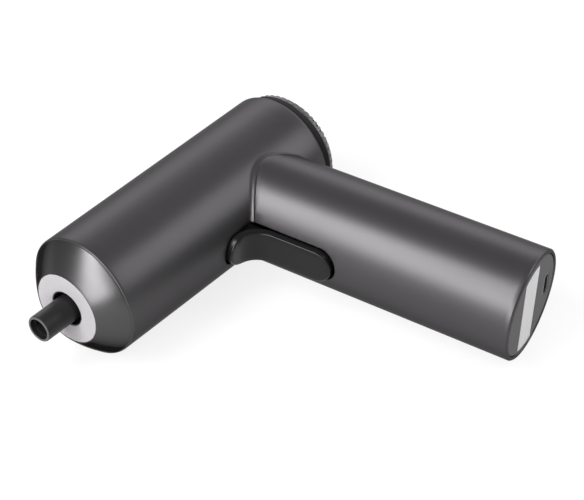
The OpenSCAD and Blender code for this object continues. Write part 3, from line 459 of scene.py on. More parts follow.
class RoundRepeat:
    """A Geometry Nodes tree that repeats one piece round the barrel's axis."""

    def __init__(self) -> None:
        """Builds the tree once, with its sizes as named inputs."""
        given = {
            "Piece": "Object",
            "Count": "Int",
            "Step": "Float",
            "Weld": "Float",
            "Finish": "Material",
        }
        graph = Graph.group("repeat_round_barrel", "GeometryNodeTree", given, {"Mesh": "Geometry"})
        add = graph.add
        ask = add("NodeGroupInput").outputs
        piece = add("GeometryNodeObjectInfo", {"Object": ask["Piece"]}).outputs["Geometry"]
        line = add("GeometryNodeMeshLine", {"Count": ask["Count"], "Offset": (0, 0, 0)})
        index = add("GeometryNodeInputIndex")
        times = add("ShaderNodeMath", {0: index, 1: ask["Step"]}, operation="MULTIPLY")
        turn = add("ShaderNodeCombineXYZ", {"X": times})
        place = {"Points": line, "Instance": piece, "Rotation": turn}
        real = add("GeometryNodeRealizeInstances", {0: add("GeometryNodeInstanceOnPoints", place)})
        weld = add("GeometryNodeMergeByDistance", {"Geometry": real, "Distance": ask["Weld"]})
        dress = add("GeometryNodeSetMaterial", {"Geometry": weld, "Material": ask["Finish"]})
        add("NodeGroupOutput", {0: dress})
        self.graph = graph

    def run(
        self,
        name: str,
        piece: bpy.types.Object,
        count: int,
        finish: bpy.types.Material,
        weld: float = WELD,
        sharp: float = 30,
    ) -> bpy.types.Object:
        """Repeats a piece evenly round the barrel's axis and makes it one plain mesh.

        Args:
            name: The new piece's name.
            piece: What is repeated. It is removed.
            count: How often.
            finish: The new piece's material.
            weld: Distance in millimetres within which points become one.
            sharp: Angle in degrees past which an edge is drawn sharp.

        Returns:
            The new object.
        """
        carrier = new_object(name, bpy.data.meshes.new(name + "_start"))
        modifier = carrier.modifiers.new("repeat", "NODES")
        modifier.node_group = self.graph.tree
        step = 2 * math.pi / count
        values = {"Piece": piece, "Count": count, "Step": step, "Weld": weld * MM, "Finish": finish}
        for word, value in values.items():
            modifier[self.graph.sockets[word]] = value
        bpy.context.view_layer.update()
        seen = carrier.evaluated_get(bpy.context.evaluated_depsgraph_get())
        made = bpy.data.meshes.new_from_object(seen)
        made.name = name
        carrier.modifiers.remove(modifier)
        carrier.data = made
        made.set_sharp_from_angle(angle=math.radians(sharp))
        bpy.data.objects.remove(piece)
        LOG.info("%s: %d faces", name, len(made.polygons))
        return carrier


# Finishes


class Grain(Enum):
    """What the fine surface of a finish shows."""

    BLASTED = "blasted"
    TURNED = "turned"
    MOULDED = "moulded"
    BRUSHED = "brushed"
    WOUND = "wound"
    TRACED = "traced"


# How much finer or longer each grain is along the three directions of a piece
STRETCH = {
    Grain.BLASTED: (1.0, 1.0, 1.0),
    Grain.TURNED: (1.0, 0.012, 0.012),
    Grain.MOULDED: (1.0, 1.0, 1.0),
    Grain.BRUSHED: (0.04, 1.0, 1.0),
    Grain.WOUND: (1.0, 0.1, 0.1),
    Grain.TRACED: (1.0, 1.0, 1.0),
}


@dataclass(frozen=True)
class Finish:
    """One surface finish: its colour, gloss and the grain that it shows.

    Attributes:
        name: The material's name.
        colour: Its colour.
        rough: Its roughness.
        metallic: How far it is a metal.
        specular: Strength of its mirror light where it is no metal.
        grain: What its fine surface shows.
        size: Width of the grain in millimetres.
        relief: Strength of the grain's bumps.
        drift: How far its colour wanders.
        rough_drift: How far its roughness wanders.
        second: A second colour that the grain shows.
        tip: The bare colour at the mouth of the bit socket.
        glance: How bright it mirrors at a glancing angle.
        milky: How far light goes into it.
    """

    name: str
    colour: Colour
    rough: float
    metallic: float = 0.0
    specular: float = 0.5
    grain: Grain = Grain.MOULDED
    size: float = 0.3
    relief: float = 0.12
    drift: float = 0.06
    rough_drift: float = 0.05
    second: Colour | None = None
    tip: Colour | None = None
    glance: float = 1.0
    milky: float = 0.0

    def shade(self, share: float) -> tuple[float, float, float, float]:
        """The colour made a little lighter or darker, as a colour socket takes it."""
        return (*(min(1.0, c * share) for c in self.colour), 1.0)


@dataclass
class Paintbox:
    """Makes the materials and keeps them by the name of their finish.

    Attributes:
        slow_scale: Scale of the noise by which colours wander.
        fine_detail: Detail and roughness of the noise of the grain.
        slow_detail: Detail of the noise by which colours wander.
        bump_height: Height of the grain's bumps in millimetres.
        milk_reach: How far light spreads in a milky finish, in millimetres.
        milk_scale: Scale of that spread.
        worn: Stations on the barrel's axis between which the bare colour comes in.
        trace_scale: Scale of the cells of a board's traces.
        trace_width: Width of the traces, as a distance in a cell.
        made: The materials.
    """

    slow_scale: float = 55
    fine_detail: tuple[float, float] = (3, 0.6)
    slow_detail: float = 2
    bump_height: float = 0.04
    milk_reach: float = 2.0
    milk_scale: float = 0.6
    worn: tuple[float, float] = (-0.4, -0.08)
    trace_scale: float = 420
    trace_width: float = 0.05
    made: dict[str, bpy.types.Material] = field(default_factory=dict)

    def __post_init__(self) -> None:
        """Builds the node group that every finish shares."""
        self.grain = self._grain_group()

    def _grain_group(self) -> bpy.types.NodeTree:
        """Builds the group that gives a fine height and a slow drift from a place.

        Returns:
            The group.
        """
        given = {"Place": "Vector", "Stretch": "Vector", "Fine": "Float", "Slow": "Float"}
        out = {"Height": "Float", "Drift": "Float"}
        graph = Graph.group("surface_grain", "ShaderNodeTree", given, out)
        add, noise = graph.add, "ShaderNodeTexNoise"
        ask = add("NodeGroupInput").outputs
        pull = add("ShaderNodeVectorMath", {0: ask["Place"], 1: ask["Stretch"]}, operation="MULTIPLY")
        detail, rough = self.fine_detail
        fine = add(noise, {"Vector": pull, "Scale": ask["Fine"], "Detail": detail, "Roughness": rough})
        slow = add(noise, {"Vector": ask["Place"], "Scale": ask["Slow"], "Detail": self.slow_detail})
        add("NodeGroupOutput", {"Height": fine, "Drift": slow})
        return graph.tree

    @staticmethod
    def _mix(graph: Graph, share: object, one: object, two: object) -> bpy.types.NodeSocket:
        """Mixes two colours. A colour mix keeps its share, colours and result at these numbers."""
        return graph.add("ShaderNodeMix", {0: share, 6: one, 7: two}, data_type="RGBA").outputs[2]

    def get(self, finish: Finish) -> bpy.types.Material:
        """Gives a finish's material.

        Args:
            finish: The finish.

        Returns:
            Its material, made at the first call.
        """
        if finish.name in self.made:
            return self.made[finish.name]
        material = bpy.data.materials.new(finish.name)
        material.use_nodes = True
        graph = Graph(material.node_tree)
        place = graph.add("ShaderNodeTexCoord").outputs["Object"]
        inputs = {
            "Place": place,
            "Stretch": STRETCH[finish.grain],
            "Fine": 1 / MM / finish.size,
            "Slow": self.slow_scale,
        }
        grain = graph.add("ShaderNodeGroup", inputs, node_tree=self.grain).outputs
        height = grain["Height"]
        darker, lighter = finish.shade(1 - finish.drift), finish.shade(1 + finish.drift)
        colour = self._mix(graph, grain["Drift"], darker, lighter)
        colour = self._second(graph, finish, place, height, colour)
        colour = self._tip(graph, finish, place, colour)
        low, high = finish.rough - finish.rough_drift, finish.rough + finish.rough_drift
        gloss = graph.add("ShaderNodeMapRange", {"Value": height, "To Min": low, "To Max": high})
        inputs = {"Height": height, "Strength": finish.relief, "Distance": self.bump_height * MM}
        bump = graph.add("ShaderNodeBump", inputs)
        inputs = {
            "Base Color": colour,
            "Roughness": gloss,
            "Normal": bump,
            "Metallic": finish.metallic,
            "Specular IOR Level": finish.specular,
            "Specular Tint": (finish.glance, finish.glance, finish.glance, 1),
        }
        if finish.milky:
            inputs["Subsurface Weight"] = finish.milky
            inputs["Subsurface Radius"] = (self.milk_reach * MM,) * 3
            inputs["Subsurface Scale"] = self.milk_scale
        graph.feed(graph.tree.nodes["Principled BSDF"], inputs)
        self.made[finish.name] = material
        return material

    def _tip(
        self, graph: Graph, finish: Finish, place: bpy.types.NodeSocket, colour: bpy.types.NodeSocket
    ) -> bpy.types.NodeSocket:
        """Lays the bare colour of a worn edge over the mouth of the bit socket.

        Args:
            graph: The material's nodes.
            finish: The finish.
            place: The object coordinates.
            colour: The colour of the rest.

        Returns:
            The socket with the colour to use.
        """
        if finish.tip is None:
            return colour
        station = graph.add("ShaderNodeSeparateXYZ", {0: place}).outputs["X"]
        low, high = self.worn
        inputs = {"Value": station, "From Min": low * MM, "From Max": high * MM}
        return self._mix(graph, graph.add("ShaderNodeMapRange", inputs), colour, (*finish.tip, 1))

    def _second(
        self,
        graph: Graph,
        finish: Finish,
        place: bpy.types.NodeSocket,
        height: bpy.types.NodeSocket,
        colour: bpy.types.NodeSocket,
    ) -> bpy.types.NodeSocket:
        """Lays a second colour over the first, as traces on a board or turns of wire.

        Args:
            graph: The material's nodes.
            finish: The finish.
            place: The object coordinates.
            height: The grain's height.
            colour: The first colour.

        Returns:
            The socket with the colour to use.
        """
        if finish.second is None:
            return colour
        share = height
        if finish.grain is Grain.TRACED:
            inputs = {"Vector": place, "Scale": self.trace_scale}
            cells = graph.add("ShaderNodeTexVoronoi", inputs, feature="DISTANCE_TO_EDGE")
            inputs = {0: cells.outputs["Distance"], 1: self.trace_width}
            share = graph.add("ShaderNodeMath", inputs, operation="LESS_THAN")
        return self._mix(graph, share, colour, (*finish.second, 1))


# The finish of each material slot of the record. The plain numbers are its roughness, metal and
# mirror light, and behind the grain its size, relief and drift.
FINISHES: dict[str, Finish] = {
    "shell": Finish(
        "gunmetal_shell", (0.081, 0.078, 0.081), 0.39, 0.86, 0.0, Grain.BLASTED, 0.22, 0.1, 0.04, glance=0.42
    ),
    "nose_metal": Finish(
        "turned_nose", (0.084, 0.082, 0.084), 0.3, 0.92, 0.0, Grain.TURNED, 0.12, 0.1, 0.03, glance=0.12
    ),
    "diffuser": Finish(
        "frosted_ring", (0.41, 0.397, 0.41), 0.55, 0.0, 0.4, Grain.MOULDED, 0.4, 0.05, 0.02, milky=0.25
    ),
    "black_steel": Finish(
        "black_steel", (0.015, 0.0145, 0.015), 0.42, 0.2, 0.25, Grain.TURNED, 0.1, 0.12, 0.08,
        tip=(0.1, 0.098, 0.1),
    ),
    "bright_steel": Finish("bright_steel", (0.6, 0.6, 0.61), 0.28, 1.0, 0.5, Grain.TURNED, 0.1, 0.08, 0.04),
    "dark_plastic": Finish(
        "trigger_plastic", (0.007, 0.0067, 0.007), 0.24, 0.0, 0.22, Grain.MOULDED, 0.18, 0.1, 0.06
    ),
    "frame_plastic": Finish(
        "frame_plastic", (0.05, 0.048, 0.05), 0.5, 0.0, 0.4, Grain.MOULDED, 0.3, 0.15, 0.08
    ),
    "gear_plastic": Finish(
        "gear_plastic", (0.74, 0.72, 0.66), 0.4, 0.0, 0.5, Grain.MOULDED, 0.3, 0.06, 0.03, milky=0.1
    ),
    "gear_steel": Finish(
        "sintered_steel", (0.42, 0.42, 0.43), 0.45, 0.9, 0.5, Grain.BLASTED, 0.12, 0.2, 0.08
    ),
    "brass": Finish("machined_brass", (0.72, 0.53, 0.24), 0.3, 1.0, 0.5, Grain.TURNED, 0.1, 0.08, 0.05),
    "magnet": Finish("sintered_magnet", (0.07, 0.07, 0.072), 0.5, 0.4, 0.5, Grain.BLASTED, 0.2, 0.2, 0.1),
    "winding": Finish(
        "copper_winding", (0.5, 0.2, 0.08), 0.4, 0.6, 0.5, Grain.WOUND, 0.4, 0.4, 0.1,
        second=(0.62, 0.32, 0.16),
    ),
    "board_green": Finish(
        "circuit_board", (0.02, 0.12, 0.05), 0.35, 0.0, 0.5, Grain.TRACED, 0.3, 0.05, 0.05,
        second=(0.05, 0.2, 0.09),
    ),
    "chip_black": Finish("chip_black", (0.02, 0.02, 0.021), 0.5, 0.0, 0.5, Grain.MOULDED, 0.15, 0.15, 0.08),
    "lamp": Finish(
        "lamp_phosphor", (0.85, 0.8, 0.45), 0.4, 0.0, 0.5, Grain.MOULDED, 0.2, 0.05, 0.05, milky=0.2
    ),
    "cell_wrap": Finish("cell_wrap", (0.05, 0.3, 0.16), 0.3, 0.1, 0.5, Grain.BRUSHED, 0.6, 0.05, 0.05),
    "cap_grey": Finish("cap_grey", (0.07, 0.068, 0.07), 0.46, 0.0, 0.15, Grain.MOULDED, 0.2, 0.12, 0.06),
    "plate_pale": Finish("plate_pale", (0.92, 0.9, 0.92), 0.4, 0.0, 0.5, Grain.BRUSHED, 0.3, 0.05, 0.02),
    "port_metal": Finish(
        "dark_nickel_socket", (0.13, 0.128, 0.131), 0.4, 0.9, 0.5, Grain.BRUSHED, 0.15, 0.1, 0.05
    ),
    "wire_red": Finish("wire_red", (0.4, 0.02, 0.015), 0.45, 0.0, 0.5, Grain.MOULDED, 0.3, 0.06, 0.05),
    "cable_tan": Finish("flat_cable", (0.55, 0.36, 0.16), 0.4, 0.0, 0.5, Grain.BRUSHED, 0.5, 0.1, 0.05),
}

# Finishes of pieces that differ a little from their slot's own
KNOB_FINISH = replace(FINISHES["shell"], name="gunmetal_knob", colour=(0.13, 0.126, 0.13), glance=0.7)
# Painted shade: a near-black matt finish for the skirt that stands for the shade in the gap round the
# trigger's flank
SHADE_SKIRT_FINISH = Finish("painted_shade_skirt", (0.004, 0.0038, 0.004), 0.7, 0.0, 0.05, Grain.MOULDED, 0.18, 0.1, 0.06)
# Painted shade: a dark matt finish for the ring that stands for the shade in the gap in front of the knob
SHADE_GAP_FINISH = replace(SHADE_SKIRT_FINISH, name="painted_shade_gap", colour=(0.024, 0.023, 0.024))


class Dresser:
    """Gives pieces their body and finish, and carried-over nodes their material."""

    def __init__(self, frame: dict) -> None:
        """Keeps the frame.
        """
        self.frame = frame
        self.paints = Paintbox()
        self.repeat = RoundRepeat()
        self.slots = {part["node"]: part["material_slot"] for part in frame["record"]["subparts"]}
        # The stem's end shows in the middle of the knob, so it is dressed as dark as the gap, as painted
        # shade.
        self.slots["knob_stem"] = "dark_plastic"

    def paint(self, slot: str) -> bpy.types.Material:
        """Gives the material of a record's slot."""
        return self.paints.get(FINISHES[slot])

    def hang(self, piece: bpy.types.Object, body: str, slot: str, *nodes: str) -> bpy.types.Object:
        """Ties a finished piece to the frame.

        Args:
            piece: The piece.
            body: The CAD body that it rides on.
            slot: The record's material slot; not used.
            *nodes: The CAD nodes that it stands for.

        Returns:
            The piece.
        """
        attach(piece, body)
        if nodes:
            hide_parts(*nodes)
        return piece

    def make(
        self,
        shape: Shape,
        name: str,
        body: str,
        slot: str,
        *nodes: str,
        sharp: float = 35,
        finish: Finish | None = None,
    ) -> bpy.types.Object:
        """Makes a gathered shape into a piece that is tied to the frame.

        Args:
            shape: The shape.
            name: The piece's name.
            body: The CAD body that it rides on.
            slot: The record's material slot.
            *nodes: The CAD nodes that it stands for.
            sharp: Angle in degrees past which an edge is drawn sharp.
            finish: Its finish where that isn't its slot's own.

        Returns:
            The piece.
        """
        paint = self.paints.get(finish or FINISHES[slot])
        return self.hang(shape.build(name, paint, sharp), body, slot, *nodes)

    def turn(
        self,
        outline: Sequence[Corner],
        name: str,
        slot: str,
        *nodes: str,
        sharp: float = 35,
        finish: Finish | None = None,
    ) -> bpy.types.Object:
        """Makes a piece of the tool's own body by turning an outline round the barrel's axis.

        Args:
            outline: The closed outline, as rounded takes it.
            name: The piece's name.
            slot: The record's material slot.
            *nodes: The CAD nodes that it stands for.
            sharp: Angle in degrees past which an edge is drawn sharp.
            finish: Its finish where that isn't its slot's own.

        Returns:
            The piece.
        """
        shape = Shape()
        shape.lathe(BARREL_AXIS, rounded(outline))
        return self.make(shape, name, "tool", slot, *nodes, sharp=sharp, finish=finish)

    def dress_nodes(self) -> None:
        """Puts a finish on every CAD node that still shows."""
        shown = {name: node for name, node in self.frame["nodes"].items() if not node.hide_render}
        for name, node in shown.items():
            node.data.materials.clear()
            node.data.materials.append(self.paint(self.slots[name]))
        LOG.info("%d nodes dressed", len(shown))


# Sub-assemblies


@dataclass(frozen=True)
class Opening:
    """The part of the trigger's opening in one tube, with a round end, seen square on."""

    half: float
    end: float
    start: float
    turn_steps: int = 40
    side_steps: int = 24

    def away(self, station: Points, side: Points) -> Points:
        """Distance outside the opening; stations run towards the rounded end."""
        past = station - (self.end - self.half)
        return np.where(past > 0, np.hypot(past, side), np.abs(side)) - self.half

    def line(self, grow: float) -> Points:
        """The opening's outline, from both sides of its start.

        Args:
            grow: How much larger it is made.

        Returns:
            Flat points in order.
        """
        turn = np.linspace(math.pi / 2, -math.pi / 2, self.turn_steps)
        middle, half = self.end - self.half, self.half + grow
        sides = np.linspace(self.start, middle, self.side_steps)[:-1]
        return np.concatenate([row(sides, half), arc(middle, half, turn), row(sides[::-1], -half)])


@dataclass
class Barrel:
    """The barrel's tube, with the trigger's opening and the way into the handle."""

    dresser: Dresser
    radius: float = 22.0
    wall: float = 2.0
    front: float = -21.0
    rear: float = -121.4
    rear_round: float = 1.4
    way_in: float = 17.04
    edge: float = 0.25
    opening: Opening = Opening(6.7, -66.9, -94.0)
    rings: int = 27
    way_in_steps: int = 96
    rear_steps: int = 9
    # Length of the eased front, and its stations and depths
    ease: float = 1.0
    front_ease: tuple[Corner, ...] = ((0.0, 0.0), (0.4, 0.03), (0.7, 0.1225), (0.9, 0.2625), (1.0, 0.45))

    def _way_in_line(self) -> Points:
        """Outline, on the unrolled barrel, of the round way into the handle.

        Returns:
            Flat points in order.
        """
        turn = np.linspace(-math.pi, math.pi, self.way_in_steps + 1)[:-1]
        found = HANDLE_AXIS.turn(saddle(self.radius, self.way_in, turn), self.way_in, turn)
        return np.column_stack([found[:, 0], np.arctan2(found[:, 2], found[:, 1]) * self.radius])

    def _opening_line(self, grow: float) -> Points:
        """Outline, on the unrolled barrel, of the trigger's opening."""
        line = self.opening.line(grow)
        return np.column_stack([line[:, 0], np.arcsin(line[:, 1] / self.radius) * self.radius])

    def _margins(self, flat: Points) -> tuple[Points, Points]:
        """Finds how far flat points lie from the two cut-outs.

        Args:
            flat: The points on the unrolled barrel.

        Returns:
            Distances outside the opening and outside the way in.
        """
        place = self._wrap(flat, self.radius)
        above = np.where(place[:, 1] > 0, 0.0, FAR)
        behind = np.where(flat[:, 0] > self.opening.start, 0.0, FAR)
        opening = self.opening.away(flat[:, 0], place[:, 2]) + above + behind
        return opening, HANDLE_AXIS.off(place) - self.way_in + above

    def _wrap(self, flat: Points, radius: object) -> Points:
        """Rolls flat points up at some distance from the barrel's axis."""
        return BARREL_AXIS.turn(flat[:, 0], radius, flat[:, 1] / self.radius)

    def build(self) -> bpy.types.Object:
        """Makes the tube.

        Returns:
            The piece, tied to the frame.
        """
        front, rear = self.front - self.ease, self.rear + self.rear_round
        inside, seam = self.radius - self.wall, math.pi * self.radius
        across = np.linspace(-math.pi, math.pi, ROUND + 1) * self.radius
        grid = lattice(np.linspace(rear, front, self.rings), across)
        opening, way = self._margins(grid)
        grid = grid[(opening > self.edge + CLEAR) & (way > CLEAR)]
        loops = [(self._opening_line(d), False) for d in edge_steps(self.edge)]
        loops.append((self._way_in_line(), True))
        shape = Shape()
        shape.patch(
            loops,
            grid,
            lambda flat: np.minimum(*self._margins(flat)) > 0,
            lambda flat: self._wrap(flat, self.radius - edge_drop(self._margins(flat)[0], self.edge)),
            lambda flat: self._wrap(flat, inside),
            lambda middle: on_seam(middle, (front, rear), seam),
        )
        outside = [(front + past, self.radius - drop) for past, drop in self.front_ease]
        shape.lathe(BARREL_AXIS, [*outside, (self.front, inside), (front, inside)], closed=False)
        bend = [(math.sin(t), math.cos(t)) for t in np.linspace(0, math.pi / 2, self.rear_steps)]
        outside = [(rear - self.rear_round * s, self.radius - self.rear_round * (1 - c)) for s, c in bend]
        shape.lathe(BARREL_AXIS, [*outside, (self.rear, inside), (rear, inside)], closed=False)
        return self.dresser.make(shape, "barrel_tube", "tool", "shell", "barrel_shell", sharp=50)


def saddle(barrel: float, radius: object, angle: object) -> Points:
    """Station down the handle at which a tube of the handle meets a barrel.

    Args:
        barrel: The barrel's radius.
        radius: The tube's radius.
        angle: Angle round the handle, from its front.

    Returns:
        Distances down the handle's axis.
    """
    high = np.sqrt(barrel**2 - (radius * np.sin(angle)) ** 2)
    return (high - radius * np.cos(angle) * math.sin(LEAN)) / math.cos(LEAN)


@dataclass
class Handle:
    """The handle's tube with its saddle, opening and rim, and the lip of its seam."""

    dresser: Dresser
    top: float = 18.85
    end: float = 19.85
    length: float = 114.2
    wall: float = 1.9
    barrel: float = Barrel.radius
    gap: float = 0.22
    edge: float = 0.25
    opening: Opening = Opening(6.7, 50.6, 8.0)
    rings: int = 30
    seam_clear: float = 0.5
    # Turn in radians over which the slope of the seam is taken
    nudge: float = 0.01
    # Station near the seam at which the tube's radius is first taken
    seam_station: float = 20.0
    # The lip's height, its least height, and the degrees from which and over which it falls
    lip: float = 1.1
    low_lip: float = 0.4
    fall_from: float = 50
    fall_over: float = 45
    lip_steps: int = 201
    # Turn in radians by which the lip stays off the opening
    lip_clear: float = 0.004
    # The lip's section: how far each point stands out of the tube and above the barrel
    lip_section: tuple[Corner, ...] = (
        (0.75, -0.05), (0.5, 0.02), (0.28, 0.12), (0.12, 0.28), (0.04, 0.5), (0.0, 0.75),
        (-0.03, 0.95), (-0.12, 1.06), (-0.25, 1.1), (-1.9, 1.1), (-1.9, -0.05),
    )
    # The cap's seat and the rim round it, with the easing of the rim's edges
    seat: float = 18.4
    seat_station: float = 112.0
    seat_ease: float = 0.15
    rim: float = 0.5
    rim_ease: float = 0.08
    rim_start: float = 0.12
    rim_turn: tuple[float, float] = (0.02, 0.05)

    def radius(self, station: object) -> object:
        """Outer radius at a station."""
        return self.top + (self.end - self.top) / self.length * station

    def rise(self, angle: Points) -> Points:
        """Height of the lip, which fades towards the handle's rear.

        Args:
            angle: Angles round the handle, from its front.

        Returns:
            The heights.
        """
        round_it = np.abs((np.asarray(angle) + math.pi) % (2 * math.pi) - math.pi)
        share = np.clip((np.degrees(round_it) - self.fall_from) / self.fall_over, 0, 1)
        return self.lip + (self.low_lip - self.lip) * share * share * (3 - 2 * share)

    def start(self, angle: Points, height: Points) -> tuple[Points, Points]:
        """Finds where the outside stands a height above the barrel.

        Args:
            angle: Angles round the handle, from its front.
            height: Heights above the barrel.

        Returns:
            Stations and radii.
        """
        station = saddle(self.barrel + height, self.radius(self.seam_station), angle)
        station = saddle(self.barrel + height, self.radius(station), angle)
        return station, self.radius(station)

    def _top(self, angle: Points) -> Points:
        """Stations at which the tube's upper end lies, just clear of the lip."""
        return self.start(angle, self.rise(angle) + self.gap)[0]

    def _wrap(self, flat: Points, radius: object) -> Points:
        """Rolls flat points up at some distance from the handle's axis."""
        return HANDLE_AXIS.turn(flat[:, 0], radius, flat[:, 1] / self.end)

    def _margins(self, flat: Points) -> tuple[Points, Points]:
        """Finds how far flat points lie from the two cut-outs.

        Args:
            flat: The points on the unrolled handle.

        Returns:
            Distances outside the opening and below the saddle.
        """
        angle = flat[:, 1] / self.end
        side = self.radius(flat[:, 0]) * np.sin(angle)
        back = np.where(np.cos(angle) > 0, 0.0, FAR)
        steep = self._top(angle + self.nudge) - self._top(angle - self.nudge)
        steep = steep / (2 * self.nudge * self.end)
        below = (flat[:, 0] - self._top(angle)) / np.sqrt(1 + steep**2)
        return self.opening.away(flat[:, 0], side) + back, below

    def _outside(self, flat: Points) -> Points:
        """Puts flat points on the outside.

        Args:
            flat: The points on the unrolled handle.

        Returns:
            The points in place.
        """
        away, down = self._margins(flat)
        drop = np.maximum(edge_drop(away, self.edge), edge_drop(down, self.edge))
        return self._wrap(flat, self.radius(flat[:, 0]) - drop)

    def _loops(self, across: Points) -> list[tuple[Points, bool]]:
        """Gives the lines that the tube's edges follow.

        Args:
            across: Distances round the handle at which its upper end has points.

        Returns:
            The lines, and whether each closes.
        """
        top = self._top(across / self.end)
        steep = np.gradient(top, across)
        loops = []
        for d in edge_steps(self.edge):
            loops.append((np.column_stack([top + d * np.sqrt(1 + steep**2), across]), False))
        for d in edge_steps(self.edge):
            line = self.opening.line(d)
            side = np.arcsin(line[:, 1] / self.radius(line[:, 0])) * self.end
            loops.append((np.column_stack([line[:, 0], side]), False))
        return loops

    def build(self) -> bpy.types.Object:
        """Makes the tube.

        Returns:
            The piece, tied to the frame.
        """
        across = np.linspace(-math.pi, math.pi, ROUND + 1) * self.end
        grid = lattice(np.linspace(self.opening.start, self.seat_station, self.rings), across)
        opening, below = self._margins(grid)
        grid = grid[(opening > self.edge + CLEAR) & (below > self.edge + self.seam_clear)]
        shape = Shape()
        shape.patch(
            self._loops(across),
            grid,
            lambda flat: np.minimum(*self._margins(flat)) > 0,
            self._outside,
            lambda flat: self._wrap(flat, self.radius(flat[:, 0]) - self.wall),
            lambda middle: on_seam(middle, (self.seat_station,), math.pi * self.end),
        )
        low, at_seat = self.length - self.rim, self.radius(self.seat_station)
        before, (past, drop) = low - self.rim_start, self.rim_turn
        profile = [
            (self.seat_station, at_seat),
            (before, self.radius(before)),
            (low + past, self.radius(low) - drop),
            (self.length - self.rim_ease, self.end - self.rim + self.rim_ease),
            (self.length, self.end - self.rim - self.rim_ease),
            (self.length, self.seat + self.seat_ease),
            (self.length - self.seat_ease, self.seat),
            (self.seat_station, self.seat),
            (self.seat_station, at_seat - self.wall),
        ]
        shape.lathe(HANDLE_AXIS, profile, closed=False)
        return self.dresser.make(shape, "handle_tube", "tool", "shell", "handle_shell", sharp=50)

    def build_lip(self) -> bpy.types.Object:
        """Makes the low collar that rises from the barrel to the seam.

        Returns:
            The piece, tied to the frame.
        """
        first = math.asin(self.opening.half / self.radius(self.seam_station)) + self.lip_clear
        rings = []
        for angle in np.linspace(first, 2 * math.pi - first, self.lip_steps):
            share = float(self.rise(angle)) / self.lip
            ring = []
            for out, height in self.lip_section:
                out, height = out * share if out > 0 else out, height * share
                radius = self.start(np.array(angle), height)[1] + out
                ring.append(HANDLE_AXIS.turn(saddle(self.barrel + height, radius, angle), radius, angle))
            rings.append(np.array(ring))
        shape = Shape()
        shape.loft(rings, ends=True)
        return self.dresser.make(shape, "seam_lip", "tool", "shell", sharp=60)


